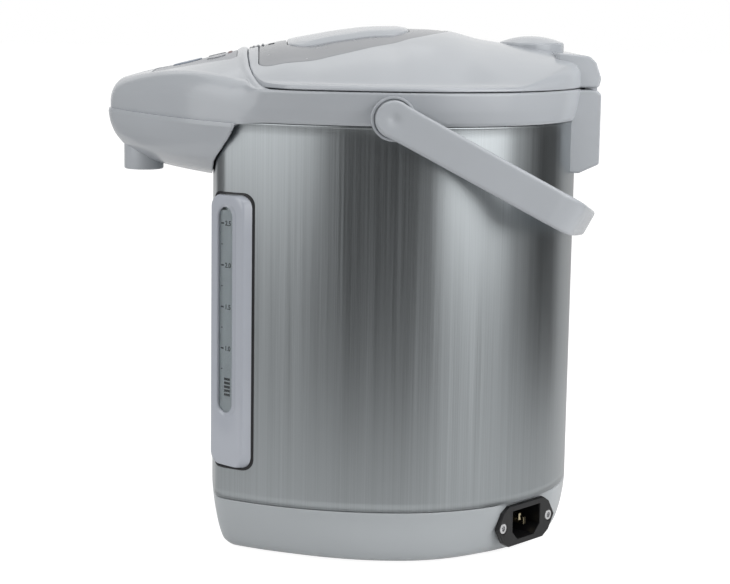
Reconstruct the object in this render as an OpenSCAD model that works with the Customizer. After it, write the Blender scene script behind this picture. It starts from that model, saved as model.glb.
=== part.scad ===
// Electric thermo pot: a steel-wrapped hot water dispenser with a pump spout,
// a hinged lid with a press pad, a swinging handle and a level gauge.
// Millimetres. +Z is up, the spout points to -Y, the lid hinge is at +Y.
// The origin is on the table, under the axis of the water vessel.

/* [Body plan] */
// Radius of the round rear half of the body
body_r = 100; // [94:1:106]
// Radius of the flatter side arcs that draw in towards the front
side_r = 167; // [150:1:190]
// Turn of the side arc before the front corner starts, degrees
side_turn = 33.5; // [30:0.5:36]
// Radius of the two front corners
corner_r = 15; // [12:1:18]
// Radius of the shallow front face
front_r = 700; // [500:10:900]

/* [Heights] */
// Height of the plastic base
base_h = 29; // [28:0.5:32]
// Height of the steel wrap
wrap_h = 202; // [190:1:215]
// Height of the collar, up to the lid seam
collar_h = 17.2; // [16:0.2:19]
// Seam gap between the collar and the lid
seam_gap = 0.6; // [0.4:0.1:1]
// Rise of the lid's crest above the lid seam
crest_rise = 31.5; // [29:0.5:34]

/* [Walls and fits] */
// Thickness of the steel wrap
wrap_t = 0.8; // [0.6:0.1:1]
// Thickness of the moulded walls
wall = 2.4; // [2:0.1:3]
// Gap between neighbouring curved faces
gap = 0.3; // [0.2:0.05:0.4]
// Radial clearance of the turning pins
pin_fit = 0.06; // [0.03:0.01:0.09]

/* [Base] */
// How far the base draws in at the table
base_draw = 8; // [6:0.5:10]
// Radius of the opening for the bottom cover
cover_r = 60; // [56:1:63]
// Thickness of the base floor
floor_t = 3; // [2.5:0.1:3.5]
// Radius of a rubber foot
foot_r = 8; // [6:0.5:9]
// Height of a rubber foot
foot_h = 2.8; // [2.6:0.1:3]
// Distance of each foot from the axis
foot_ring = 76; // [73:1:77]

/* [Spout] */
// Reach of the spout's nose from the vessel axis
nose_reach = 159.6; // [152:0.5:164]
// Half width of the spout where it leaves the collar
spout_hw = 77; // [75:0.5:79]
// Rise of the spout top towards the lid, millimetres per millimetre
spout_slope = 0.256; // [0.22:0.01:0.28]
// Crown of the spout and lid tops, as a drop per square millimetre
crown = 0.0029; // [0.0022:0.0001:0.0032]
// Outer radius of the nozzle
nozzle_r = 10.9; // [9.5:0.1:12]
// Radius of the nozzle bore
nozzle_bore = 5; // [4:0.5:6.5]
// Distance of the nozzle from the vessel axis
nozzle_y = 140.2; // [137:0.2:142]
// Height of the nozzle's lower end above the table
nozzle_z = 199.3; // [196:0.5:201]

/* [Control panel] */
// Half width of the control panel
panel_hw = 36; // [32:1:40]
// Length of the control panel along the spout
panel_l = 46; // [40:1:50]
// Thickness of the control panel
panel_t = 1.6; // [1.2:0.1:2]
// Radius of the dispense button
button_r = 8; // [6:0.5:9]
// Travel of the panel buttons
button_travel = 0.8; // [0.5:0.1:1]

/* [Water vessel] */
// Inner radius of the vessel
vessel_r = 75; // [70:1:75]
// Wall of the vessel
vessel_t = 0.8; // [0.6:0.1:1]
// Height of the vessel floor above the table
vessel_z = 60; // [58:1:66]
// Width of the rim that carries the vessel
rim_w = 6; // [5:0.5:6]

/* [Lid] */
// Front of the lid, in front of the vessel axis
lid_front = 82.5; // [80:0.5:84]
// Half width of the inset at the front of the lid
inset_hw = 60; // [54:1:64]
// Length of the inset towards the hinge
inset_l = 103; // [96:1:108]
// Half width of the press pad
pad_hw = 33; // [28:1:36]
// Length of the press pad
pad_l = 66; // [60:1:70]
// Height of the press pad above the inset
pad_h = 2; // [1.5:0.1:3]
// Travel of the press pad
pad_travel = 10; // [6:0.5:12]
// Radius of the steam vent cap
vent_r = 18; // [15:0.5:19]
// Distance of the steam vent cap behind the vessel axis
vent_y = 75; // [72:0.5:76]

/* [Hinge] */
// Half width of the hinge block
hinge_hw = 37; // [33:1:40]
// Half width of the lid's knuckle
knuckle_hw = 24; // [20:1:27]
// Distance of the hinge axis outside the body radius
hinge_out = 5.5; // [4.8:0.1:6]
// Depth of the hinge axis below the lid seam
hinge_drop = 8.2; // [7.8:0.1:8.6]
// Radius of the hinge pin
hinge_pin_r = 1.5; // [1.2:0.1:1.7]
// Wall of the ear behind the pin
ear_back = 3.4; // [3.2:0.1:3.8]

/* [Handle] */
// Height of the handle pivot above the table
pivot_z = 235.2; // [234:0.2:236]
// Distance of the handle pivot in front of the vessel axis
pivot_y = 8.4; // [6:0.2:10]
// Radius of the boss ring
boss_r = 11.4; // [10.5:0.1:12]
// Inner face of each handle arm, outside the body radius
arm_out = 6.4; // [6:0.2:9]
// Thickness of a handle arm
arm_t = 5.6; // [4.6:0.1:7]
// Width of a handle arm
arm_w = 18.4; // [16:0.2:20]
// Gap between the body and the resting grip
grip_gap = 0.45; // [0.35:0.05:2]
// Radius of the grip's arch
grip_arch = 250; // [230:5:300]
// Thickness of the grip
grip_t = 5; // [4:0.5:8]
// Width of the grip
grip_w = 14; // [10:0.5:15]
// Rest angle of the handle below the horizontal
rest_angle = 28; // [26:0.5:30]

/* [Level gauge] */
// Direction of the gauge, degrees from the side towards the front
gauge_turn = 46; // [43:1:49]
// Shift of the gauge from the corner towards the side
gauge_shift = 2; // [0:0.5:3]
// Width of the gauge frame
gauge_w = 26; // [25:0.5:28]
// Height of the lower end of the frame
gauge_z = 46; // [44:0.5:50]
// Height of the frame
gauge_h = 142; // [136:1:148]
// How far the frame stands proud of the corner
gauge_proud = 1.6; // [1.4:0.1:2.4]
// Width of the gauge slot
slot_w = 13; // [12:0.5:14]
// Outer radius of the sight tube
sight_r = 4.6; // [4:0.2:5]

/* [Power inlet] */
// Width of the inlet flange
inlet_w = 50; // [48:0.5:50]
// Height of the inlet flange
inlet_fh = 22.4; // [22:0.2:23]
// Pitch of the two flange screws
inlet_pitch = 40; // [39.5:0.1:40.5]
// Height of the inlet's centre above the table
inlet_z = 15.9; // [15.6:0.1:16.4]
// Depth of the inlet's flat inside the body radius
inlet_in = 3.5; // [3:0.1:4.5]

/* [Pump] */
// Radius of the pump housing
pump_r = 20; // [18:0.5:22]
// Radius of the pump motor
motor_r = 14; // [12:0.5:15]
// Distance of the pump axis in front of the vessel axis
pump_y = 42; // [41:0.5:43]
// Outer radius of the water hoses
hose_r = 5; // [4.5:0.1:5.5]
// Bore radius of the water hoses
hose_bore = 3; // [2.5:0.1:3.5]

/* [Hidden] */
$fn = 64;
e = 0.01;                                   // overcut so faces never coincide

// heights that follow from the driving sizes
wrap_z = base_h;
collar_z = wrap_z + wrap_h;
seam_z = collar_z + collar_h;
lid_z = seam_z + seam_gap;
crest_z = seam_z + crest_rise;
rim_z = seam_z - 9.7;                       // shelf that carries the vessel rim
hinge_z = seam_z - hinge_drop;
spout_z = collar_z + 1.7;                   // spout seam at the nose
root_y = 88;                                // spout root, in front of the axis
base_z = 1.2;                               // underside of the base
hinge_y = body_r + hinge_out;
arm_x = body_r + arm_out;
inlet_d = body_r - inlet_in;
// the grip's lower inner edge clears the body by grip_gap at rest
grip_reach = (body_r + grip_gap + pivot_y + grip_w / 2 * sin(rest_angle)) / cos(rest_angle);

// ---- body plan: one outline of tangent arcs, offset outwards by o ----
corner_x = (body_r - side_r) + (side_r - corner_r) * cos(side_turn);
corner_y = -(side_r - corner_r) * sin(side_turn);
front_half = asin(corner_x / (front_r - corner_r));
front_cy = corner_y + (front_r - corner_r) * cos(front_half);

function arc(cx, cy, r, a0, a1, n) =
  [for (i = [0:n - 1]) let (a = a0 + (a1 - a0) * i / n)
    [cx + r * cos(a), cy + r * sin(a)]];
// half outline on the +X side, from the front middle to the rear middle
function half_plan(o) = concat(
  arc(0, front_cy, front_r + o, -90, -90 + front_half, 3),
  arc(corner_x, corner_y, corner_r + o, -90 + front_half, -side_turn, 5),
  arc(body_r - side_r, 0, side_r + o, -side_turn, 0, 6),
  arc(0, 0, body_r + o, 0, 90, 13));
function plan(o) = let (p = half_plan(o)) concat(p, [[0, body_r + o]],
  [for (i = [len(p) - 1:-1:1]) [-p[i][0], p[i][1]]]);

// exact plan, for straight-walled pieces
module plan_2d(o) {
  cy = -corner_y;
  intersection() {
    circle(r = body_r + o, $fn = 128);
    translate([-200, 0]) square([400, 200]);
  }
  intersection() {
    translate([body_r - side_r, 0]) circle(r = side_r + o, $fn = 256);
    translate([side_r - body_r, 0]) circle(r = side_r + o, $fn = 256);
    translate([-200, -(side_r + o) * sin(side_turn)])
      square([400, (side_r + o) * sin(side_turn) + e]);
  }
  for (s = [-1, 1]) translate([s * corner_x, -cy]) circle(r = corner_r + o);
  intersection() {
    translate([0, front_cy]) circle(r = front_r + o, $fn = 512);
    translate([-corner_x - (corner_r + o) * sin(front_half), -200])
      square([2 * (corner_x + (corner_r + o) * sin(front_half)), 200 - cy + 6]);
  }
}
module plan_prism(o, z0, z1) {
  translate([0, 0, z0]) linear_extrude(z1 - z0) plan_2d(o);
}

// ---- skin: a closed solid through rings of equally many points ----
function centre(r) = [for (k = [0:2]) [for (p = r) p[k]] * [for (p = r) 1] / len(r)];
module skin(rings) {
  n = len(rings[0]);
  m = len(rings);
  pts = concat([for (r = rings) each r], [centre(rings[0]), centre(rings[m - 1])]);
  polyhedron(pts, concat(
    [for (k = [0:m - 2], i = [0:n - 1]) let (j = (i + 1) % n)
      each [[k * n + i, (k + 1) * n + i, (k + 1) * n + j],
            [k * n + i, (k + 1) * n + j, k * n + j]]],
    [for (i = [0:n - 1]) [m * n, i, (i + 1) % n]],
    [for (i = [0:n - 1]) [m * n + 1, (m - 1) * n + (i + 1) % n, (m - 1) * n + i]]));
}
function plan_ring(o, z) = [for (p = plan(o)) [p[0], p[1], z]];

// ---- crowned top shared by the spout and the lid ----
function crest(y) = lookup(y, [
  [-nose_reach, seam_z + 1.8 - spout_slope * (nose_reach - 149)],
  [-84, seam_z + 1.8 + spout_slope * 65], [-63, crest_z - 8.3], [-36, crest_z - 3],
  [-16, crest_z - 0.3], [0, crest_z], [22, crest_z - 0.4], [30, crest_z - 2.2],
  [44, crest_z - 6.7], [58, crest_z - 8.4], [92, crest_z - 10.6], [120, crest_z - 14]]);
function crowned(x, y, d) = crest(y) - crown * x * x * min(1, max(0, (y + 140) / 54)) - d;

// ---- spout nose outline, from the +X root round the nose to the -X root ----
function nose(hw, reach, n = 24) = [for (i = [0:n]) let (t = 180 - 180 * i / n)
  [hw * sign(cos(t)) * pow(abs(cos(t)), 1.74), -root_y - (reach - root_y) * pow(sin(t), 1.37)]];
function nose_z(y, root, tip) = root + (tip - root) * (-y - root_y) / (nose_reach - root_y);
function spout_ring(hw, reach, root, tip) =
  [for (p = nose(hw, reach)) [p[0], p[1], nose_z(p[1], root, tip)]];
function spout_top_ring(hw, reach, d) =
  [for (p = nose(hw, reach)) [p[0], p[1], crowned(p[0], p[1], d)]];
module spout_upper(i) {
  // i shrinks the form evenly for the inside of the shell
  h = spout_hw - i;
  r = nose_reach - i;
  skin([spout_ring(h, r, spout_z - 3 - (i > 0 ? 9 : 0), spout_z - (i > 0 ? 9 : 0)),
    spout_ring(h - 0.3, r - 0.3, spout_z + 5, spout_z + 6),
    [for (p = nose(h - 2.2, r - 2.2)) [p[0], p[1], crowned(p[0], p[1], 6 + i)]],
    spout_top_ring(h - 5.5, r - 5.5, 2.2 + i),
    spout_top_ring(h - 11, r - 11, i),
    spout_top_ring((h - 11) * 0.55, root_y + (r - 11 - root_y) * 0.6, i),
    spout_top_ring((h - 11) * 0.15, root_y + (r - 11 - root_y) * 0.2, i)]);
}
module spout_lower(i) {
  h = spout_hw - i;
  r = nose_reach - i;
  skin([spout_ring(h * 0.36, root_y + (r - root_y) * 0.56, spout_z - 33 + i, spout_z - 26.5 + i),
    spout_ring(h * 0.58, root_y + (r - root_y) * 0.72, spout_z - 28 + i, spout_z - 24.5 + i),
    spout_ring(h * 0.76, r - 8.6, spout_z - 21 + i, spout_z - 19 + i * 0.6),
    spout_ring(h * 0.91, r - 3.6, spout_z - 13.5, spout_z - 13),
    spout_ring(h * 0.98, r - 1, spout_z - 7.5, spout_z - 7),
    spout_ring(h, r, spout_z - 3 + (i > 0 ? e : -0.15), spout_z + (i > 0 ? e : -0.15))]);
}

// ---- base ----
module base_outline(o) {
  skin([plan_ring(-base_draw - o, base_z + (o > 0 ? floor_t : 0)),
    plan_ring(-base_draw * 0.72 - o, base_z + (o > 0 ? floor_t + 0.4 : 1.8)),
    plan_ring(-base_draw * 0.46 - o, base_z + 6.3),
    plan_ring(-base_draw * 0.2 - o, base_z + 14),
    plan_ring(-o, base_h + (o > 0 ? 8 : 0))]);
}
// local frame of the inlet flat: x along the flat, z up, y out of the flat
module at_inlet() { rotate([0, 0, -45]) translate([0, inlet_d, inlet_z]) children(); }
foot_turns = [38, 142, 218, 322];
tab_turns = [90, 210, 330];
module base_shell() {
  color([0.50, 0.50, 0.52]) difference() {
    union() {
      base_outline(0);
      // tongue that centres the steel wrap
      plan_prism(-wrap_t - gap, base_h - 4, base_h + 4);
    }
    difference() {
      base_outline(wall);
      at_inlet() translate([-30, -8, -25]) cube([60, 30, 50]);
      for (a = foot_turns) rotate(a) translate([foot_ring, 0, 0])
        cylinder(r = 4, h = base_z + floor_t + 2);
    }
    plan_prism(-wrap_t - gap - wall, base_h - 0.5, base_h + 5);
    translate([0, 0, base_z - e]) cylinder(r = cover_r + gap, h = floor_t + 1);
    for (a = foot_turns) rotate(a) translate([foot_ring, 0, -e])
      cylinder(r = foot_r + gap / 2, h = foot_h - 1 + e);
    // flat seat and pocket for the power inlet
    at_inlet() {
      translate([-40, 0, -30]) cube([80, 40, 60]);
      translate([-14.2, -30, -9.9]) cube([28.4, 40, 19.8]);
      for (s = [-1, 1]) translate([s * inlet_pitch / 2, e, 0]) rotate([90, 0, 0])
        cylinder(r = 1.5, h = 7);
    }
  }
}
module bottom_cover() {
  color([0.42, 0.42, 0.44]) difference() {
    union() {
      translate([0, 0, base_z]) cylinder(r = cover_r, h = floor_t);
      for (a = tab_turns) rotate(a) translate([cover_r - 3, -7, base_z + floor_t - e])
        cube([9, 14, 1.6]);
    }
    for (a = tab_turns) rotate(a) translate([cover_r - 8, 0, base_z - e]) {
      cylinder(r = 1.8, h = 8);
      cylinder(r = 3.4, h = 1.4);
    }
    for (a = [0:20:340]) rotate(a) translate([28, -1.2, base_z - e]) cube([16, 2.4, 8]);
  }
}
module bottom_screws() {
  color([0.72, 0.72, 0.74]) for (a = tab_turns) rotate(a)
    translate([cover_r - 8, 0, base_z]) {
      cylinder(r = 3.2, h = 1.3);
      cylinder(r = 1.6, h = 7.6);
    }
}
module rubber_feet() {
  color([0.1, 0.1, 0.1]) for (a = foot_turns) rotate(a) translate([foot_ring, 0, 0])
    cylinder(r = foot_r, h = foot_h - 1);
}

// ---- gauge place: x along the face, y outwards from the body corner, z up ----
gauge_d = corner_x * cos(gauge_turn) - corner_y * sin(gauge_turn) + corner_r;
gauge_along = corner_x * sin(gauge_turn) + corner_y * cos(gauge_turn) + gauge_shift;
phi = -90 - gauge_turn;
module at_gauge() { rotate([0, 0, phi]) translate([-gauge_along, gauge_d, 0]) children(); }
// a point of the gauge's frame in the part's frame
function gauge_pt(x, y) = let (u = x - gauge_along, v = gauge_d + y)
  [cos(phi) * u - sin(phi) * v, sin(phi) * u + cos(phi) * v];
module slab(w, z0, z1, r, y0, y1) {
  // upright slab with round corners, w wide, from y0 to y1
  translate([0, y0, 0]) rotate([90, 0, 180]) linear_extrude(y1 - y0) union() {
    translate([-w / 2, z0 + r]) square([w, z1 - z0 - 2 * r]);
    translate([-w / 2 + r, z0]) square([w - 2 * r, z1 - z0]);
    for (x = [-1, 1], z = [z0 + r, z1 - r]) translate([x * (w / 2 - r), z]) circle(r = r);
  }
}
module steel_wrap() {
  color([0.78, 0.78, 0.80]) difference() {
    plan_prism(0, wrap_z, collar_z);
    plan_prism(-wrap_t, wrap_z - 1, collar_z + 1);
    at_gauge() slab(gauge_w - 6, gauge_z + 3, gauge_z + gauge_h - 3, 6, -30, 10);
  }
}

// ---- collar with the upper half of the spout, the bosses and the hinge ears ----
recess_r = vessel_r + vessel_t + rim_w + 1.2;
arch_y = lid_front + 0.8;                   // rear face of the arch in front of the lid
function dome_top(s, o, d, low) = [for (p = plan(o)) [p[0] * s, p[1] * s,
  max(low, crowned(p[0] * s, p[1] * s, d))]];
module dome(o, z0, d) {
  skin([plan_ring(4 + o, z0), plan_ring(3.8 + o, seam_z + 2.4 - d * 0.5),
    dome_top(0.985, 3.4 + o, d, seam_z + 3.2 - d * 0.5),
    dome_top(0.94, 3.4 + o, d, seam_z + 3.6 - d * 0.5),
    for (s = [0.82, 0.64, 0.44, 0.24, 0.08]) dome_top(s, 3.4 + o, d, 0)]);
}
module front_of(y) { translate([-150, -200, 0]) cube([300, 200 - y, 400]); }
module block_2d(z0, z1) {
  // side outline of the hinge block, drawn in YZ
  polygon([[80, z0], [98, z0], [hinge_y + ear_back, z0 + 5], [hinge_y + ear_back, z1 - 2.4],
    [hinge_y + ear_back - 2.6, z1], [80, z1]]);
}
module along_x(w) { translate([-w, 0, 0]) rotate([90, 0, 90]) linear_extrude(2 * w) children(); }
module boss(s) {
  translate([s * (arm_x - 0.4), -pivot_y, pivot_z]) rotate([0, -s * 90, 0])
    cylinder(r = boss_r, h = 9);
}
module collar() {
  color([0.52, 0.52, 0.54]) difference() {
    union() {
      skin([plan_ring(0.4, collar_z), plan_ring(1.3, collar_z + 1.4),
        plan_ring(2.7, collar_z + collar_h * 0.45), plan_ring(3.7, collar_z + collar_h * 0.82),
        plan_ring(4, seam_z - 1), plan_ring(3.3, seam_z)]);
      intersection() {
        dome(0, collar_z + 4, 0);
        front_of(arch_y);
      }
      spout_upper(0);
      along_x(hinge_hw) block_2d(nozzle_z + 3, seam_z - 0.4);
      for (s = [-1, 1]) boss(s);
    }
    // room for the vessel, the lid's plug and its rim
    translate([0, 0, collar_z - 40]) cylinder(r = vessel_r + vessel_t + gap, h = 90, $fn = 96);
    translate([0, 0, rim_z]) difference() {
      cylinder(r = recess_r, h = 60, $fn = 96);
      translate([-120, -120 - arch_y, -5]) cube([240, 120, 90]);
    }
    // hollow of the collar, open at the bottom
    difference() {
      translate([0, 0, -0.1]) plan_prism(-2, collar_z, seam_z - 3);
      translate([0, 0, rim_z - 3]) cylinder(r = recess_r + 2.4, h = 30, $fn = 96);
      translate([-25.5 - wall, 80, collar_z - 1]) cube([51 + 2 * wall, 40, 40]);
    }
    plan_prism(0.15, collar_z - 60, collar_z);
    // hollow of the spout and of the arch
    spout_upper(wall);
    intersection() {
      dome(-wall, collar_z - 1, wall);
      front_of(arch_y + 2.5);
    }
    // slot for the knuckle of the lid, open to the rear
    translate([-knuckle_hw - 0.8, hinge_y - 5.2, hinge_z - 5.4]) cube([2 * knuckle_hw + 1.6, 30, 40]);
    translate([-60, hinge_y, hinge_z]) rotate([0, 90, 0]) cylinder(r = hinge_pin_r, h = 120);
    // seats of the handle pins
    for (s = [-1, 1]) translate([s * (arm_x - 10), -pivot_y, pivot_z]) rotate([0, s * 90, 0])
      cylinder(r = 3.5, h = 20);
    // pocket of the control panel, its buttons and its lights
    panel_room(gap);
    for (i = [0:2]) button_hole(i, gap);
    for (x = lens_xs) lens_hole(x);
  }
  // posts that carry the panel board
  color([0.52, 0.52, 0.54]) for (x = [-post_x, post_x], y = post_ys)
    translate([x, y, board_z + board_t])
      cylinder(r = post_r, h = crowned(x, y - post_r, panel_t + 0.1) - board_z - board_t);
}
// panel plate: a slice of the crowned top, inside a rounded trapezium
panel_y0 = 86.5 + 2;
module panel_2d(o) {
  hull() for (s = [-1, 1]) {
    translate([s * (panel_hw - 6), -panel_y0 - 4]) circle(r = 4 + o, $fn = 24);
    translate([s * (panel_hw - 14), -panel_y0 - panel_l + 6]) circle(r = 6 + o, $fn = 24);
  }
}
module panel_room(o) {
  // everything above the underside of the panel
  difference() {
    translate([0, 0, collar_z + 12]) linear_extrude(60) panel_2d(o);
    translate([0, 0, -panel_t]) spout_upper(0);
  }
}
board_z = seam_z + 1;                       // underside of the panel board
board_t = 1.6;
post_x = 22;
post_ys = [-122, -94];
post_r = 2;
stem_z = board_z + board_t + button_travel + 0.15;
button_at = [[0, -116, 1], [-15, -100, 0.62], [15, -100, 0.62]];
lens_xs = [-8, 0, 8];
lens_y = -92.5;
lens_r = 1.2;
module button_hole(i, o) {
  translate([button_at[i][0], button_at[i][1], collar_z])
    cylinder(r = button_r * button_at[i][2] + o, h = 60);
}
module lens_hole(x) { translate([x, lens_y, collar_z]) cylinder(r = lens_r + gap / 2, h = 60); }
module control_panel() {
  color([0.40, 0.40, 0.42]) difference() {
    intersection() {
      panel_room(0);
      translate([0, 0, -0.3]) spout_upper(0);
    }
    for (i = [0:2]) button_hole(i, gap);
    for (x = lens_xs) lens_hole(x);
  }
}
module button(i) {
  // round cap cut to the slope of the panel, on a stem over its switch
  x = button_at[i][0];
  y = button_at[i][1];
  r = button_r * button_at[i][2];
  z = crowned(x, y, -0.4);
  translate([x, y, 0]) difference() {
    union() {
      translate([0, 0, z - 6]) cylinder(r = r, h = 10);
      translate([0, 0, stem_z]) cylinder(r = r * 0.35, h = z - 6 + e - stem_z);
    }
    translate([0, 0, z]) rotate([atan(spout_slope), 0, 0]) translate([-20, -20, 0]) cube([40, 40, 20]);
  }
}
module dispense_button() { color([0.30, 0.45, 0.62]) button(0); }
module reboil_button() { color([0.66, 0.66, 0.68]) button(1); }
module lock_button() { color([0.66, 0.66, 0.68]) button(2); }
module indicator_lens() {
  color([0.8, 0.2, 0.15]) for (x = lens_xs)
    translate([x, lens_y, crowned(x, lens_y, 5.4)]) cylinder(r = lens_r, h = 5.3);
}
module panel_board() {
  color([0.12, 0.35, 0.18]) translate([-post_x - 4, post_ys[0] - 4, board_z])
    cube([2 * post_x + 8, post_ys[1] - post_ys[0] + 8, board_t]);
}
power_board_z = 12;
module power_board() {
  color([0.12, 0.35, 0.18]) {
    translate([-48, 12, power_board_z]) cube([46, 32, board_t]);
    for (x = [-41, -26, -11], y = [19, 36]) translate([x, y, power_board_z + board_t - e])
      cylinder(r = 4, h = 9);
    for (p = [[-45, 15], [-5, 41]]) translate([p[0], p[1], base_z + floor_t])
      cylinder(r = 2.5, h = power_board_z + e - base_z - floor_t);
  }
}
module spout_cover() {
  color([0.50, 0.50, 0.52]) difference() {
    spout_lower(0);
    spout_lower(wall);
    plan_prism(0.15, 150, collar_z + 20);
    translate([0, -nozzle_y, 150]) cylinder(r = nozzle_r + 0.15, h = 90);
  }
}
pipe_z = spout_z + 5;
riser_y = 92;
module nozzle() {
  color([0.46, 0.46, 0.48]) translate([0, -nozzle_y, 0]) difference() {
    union() {
      translate([0, 0, nozzle_z]) cylinder(r = nozzle_r, h = spout_z - 8 - nozzle_z);
      translate([0, 0, nozzle_z + 20]) cylinder(r = nozzle_r - 2, h = 6);
    }
    translate([0, 0, nozzle_z - 1]) cylinder(r = nozzle_bore, h = 90);
    translate([0, 0, nozzle_z - e]) cylinder(r1 = nozzle_r - 2, r2 = nozzle_bore, h = 5);
  }
}
// hose along straight legs joined by round bends: a route is a list of [point, heading]
bend_r = 10;
function unit(v) = v / norm(v);
function heading(p, i) = unit(p[i + 1] - p[i]);
function bend(p, i) = let (u = heading(p, i - 1), v = heading(p, i), n = unit(v - (u * v) * u),
    turn = acos(u * v), c = p[i] - u * bend_r * tan(turn / 2) + n * bend_r)
  [for (j = [0:4]) let (t = turn * j / 4)
    [c - n * bend_r * cos(t) + u * bend_r * sin(t), u * cos(t) + n * sin(t)]];
function route(p, over) = let (m = len(p) - 1) concat(
  [[p[0] - heading(p, 0) * over, heading(p, 0)]], [for (i = [1:1:m - 1]) each bend(p, i)],
  [[p[m] + heading(p, m - 1) * over, heading(p, m - 1)]]);
// side direction of each ring, carried along the route without twist
function carry(r, k, a) = let (u = r[k][1], b = unit(a - (a * u) * u))
  k == len(r) - 1 ? [b] : concat([b], carry(r, k + 1, b));
module tube(r, radius, sides = 16) {
  side = carry(r, 0, [1, 0.3, 0.2]);
  skin([for (k = [0:len(r) - 1]) let (a = side[k], w = cross(r[k][1], a))
    [for (i = [0:sides - 1]) let (b = 360 * i / sides)
      r[k][0] + radius * (cos(b) * a + sin(b) * w)]]);
}
module hose(p, ro, ri) {
  difference() {
    tube(route(p, 0), ro);
    tube(route(p, 1), ri);
  }
}
module rod(a, b, r) {
  d = b - a;
  translate(a) rotate([0, acos(d[2] / norm(d)), atan2(d[1], d[0])]) cylinder(r = r, h = norm(d));
}
module spout_pipe() {
  color([0.85, 0.85, 0.82]) hose([[0, -riser_y - 14, pipe_z], [0, -nozzle_y, pipe_z],
    [0, -nozzle_y, nozzle_z + 26]], hose_r, hose_bore);
}

// ---- level gauge ----
gauge_top = gauge_z + gauge_h;
slot_z0 = gauge_z + 26;
slot_z1 = gauge_top - 6;
module gauge_frame() {
  color([0.86, 0.89, 0.93]) difference() {
    union() {
      difference() {
        at_gauge() slab(gauge_w, gauge_z, gauge_top, 7, -13, gauge_proud);
        plan_prism(0.12, 20, collar_z - 2);
      }
      at_gauge() slab(gauge_w - 6.5, gauge_z + 3.3, gauge_top - 3.3, 5.8, -3, 0.6);
    }
    at_gauge() {
      slab(slot_w, slot_z0, slot_z1, slot_w / 2 - 0.5, -20, 10);
      slab(slot_w + 3, slot_z0 - 1.5, slot_z1 + 1.5, slot_w / 2 + 0.5, -20, gauge_proud - 1.5);
    }
  }
}
module gauge_gasket() {
  color([0.08, 0.08, 0.09]) difference() {
    at_gauge() slab(gauge_w - 0.6, gauge_z - 2.6, gauge_top + 2.6, 8, -13, gauge_proud - 1);
    at_gauge() slab(gauge_w + 3, gauge_z - 0.1, gauge_top + 0.1, 7, -30, 10);
    plan_prism(0.12, 20, collar_z - 2);
  }
}
module gauge_window() {
  color([0.85, 0.92, 0.95, 0.5]) at_gauge()
    slab(slot_w + 2.6, slot_z0 - 1.3, slot_z1 + 1.3, slot_w / 2 + 0.4, gauge_proud - 3.1, gauge_proud - 1.5);
}
sight_x = 1.6;
sight_y = -8.4;
module gauge_scale() {
  color([0.93, 0.93, 0.93]) at_gauge()
    slab(4, slot_z0 + 2, slot_z1 - 2, 1, gauge_proud - 4.1, gauge_proud - 3.1);
}
sight_z0 = gauge_z + 12;
sight_z1 = gauge_top - 1;
module sight_tube() {
  p = gauge_pt(sight_x, sight_y);
  color([0.8, 0.88, 0.9, 0.5]) translate([p[0], p[1], sight_z0]) difference() {
    cylinder(r = sight_r, h = sight_z1 - sight_z0);
    translate([0, 0, -1]) cylinder(r = sight_r - 1.2, h = 300);
  }
}

// ---- water side ----
module water_vessel() {
  r = vessel_r;
  t = vessel_t;
  color([0.70, 0.71, 0.72]) difference() {
    union() {
      rotate_extrude($fn = 128) difference() {
        union() {
          translate([0, vessel_z]) square([r + t - 6, rim_z + t - vessel_z]);
          translate([0, vessel_z + 6]) square([r + t, rim_z + t - vessel_z - 6]);
          translate([r + t - 6, vessel_z + 6]) circle(r = 6);
          translate([0, rim_z]) square([r + t + rim_w, t]);
        }
        translate([0, vessel_z + t]) square([r - 6, 300]);
        translate([0, vessel_z + t + 6]) square([r, 300]);
        translate([r - 6, vessel_z + t + 6]) circle(r = 6);
        translate([-100, 0]) square([100, 400]);
      }
      translate([0, -pump_y, vessel_z - 8]) cylinder(r = 4, h = 8 + e);
    }
    translate([0, -pump_y, vessel_z - 9]) cylinder(r = hose_bore, h = 12);
  }
}
module insulation_jacket() {
  color([0.88, 0.86, 0.80]) translate([0, 0, vessel_z + 26]) difference() {
    cylinder(r = vessel_r + vessel_t + 6, h = rim_z - 14 - vessel_z - 26, $fn = 96);
    translate([0, 0, -1]) cylinder(r = vessel_r + vessel_t + gap, h = 300, $fn = 96);
  }
}
module main_heater() {
  color([0.45, 0.45, 0.47]) translate([0, 0, vessel_z - 5]) difference() {
    union() {
      cylinder(r = 34, h = 5);
      for (a = [60, 120]) rotate(a) translate([27, 0, -8]) cylinder(r = 2, h = 9);
    }
    translate([0, 0, -1]) cylinder(r = 17, h = 8);
  }
}
module keep_warm_band() {
  color([0.75, 0.6, 0.3]) translate([0, 0, vessel_z + 8]) difference() {
    cylinder(r = vessel_r + vessel_t + 2, h = 16, $fn = 96);
    translate([0, 0, -1]) cylinder(r = vessel_r + vessel_t + gap / 2, h = 20, $fn = 96);
  }
}
module thermostats() {
  color([0.3, 0.3, 0.3]) for (x = [-8, 8]) translate([x, 0, vessel_z - 8]) {
    cylinder(r = 6.5, h = 8);
    for (y = [-3, 3]) translate([-0.4, y - 1.5, -5]) cube([0.8, 3, 5 + e]);
  }
}
pump_z = 26;
pump_h = 18;
shaft_r = 1.5;
module pump_mount() {
  color([0.12, 0.12, 0.12]) translate([0, -pump_y, base_z + floor_t]) difference() {
    cylinder(r = motor_r + 3, h = 5);
    translate([0, 0, 2]) cylinder(r = motor_r + 0.1, h = 10);
  }
}
module pump_motor() {
  color([0.68, 0.68, 0.70]) translate([0, -pump_y, base_z + floor_t + 2]) difference() {
    cylinder(r = motor_r, h = pump_z - base_z - floor_t - 2);
    translate([0, 0, 4]) cylinder(r = shaft_r + pin_fit, h = 60);
  }
}
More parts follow.
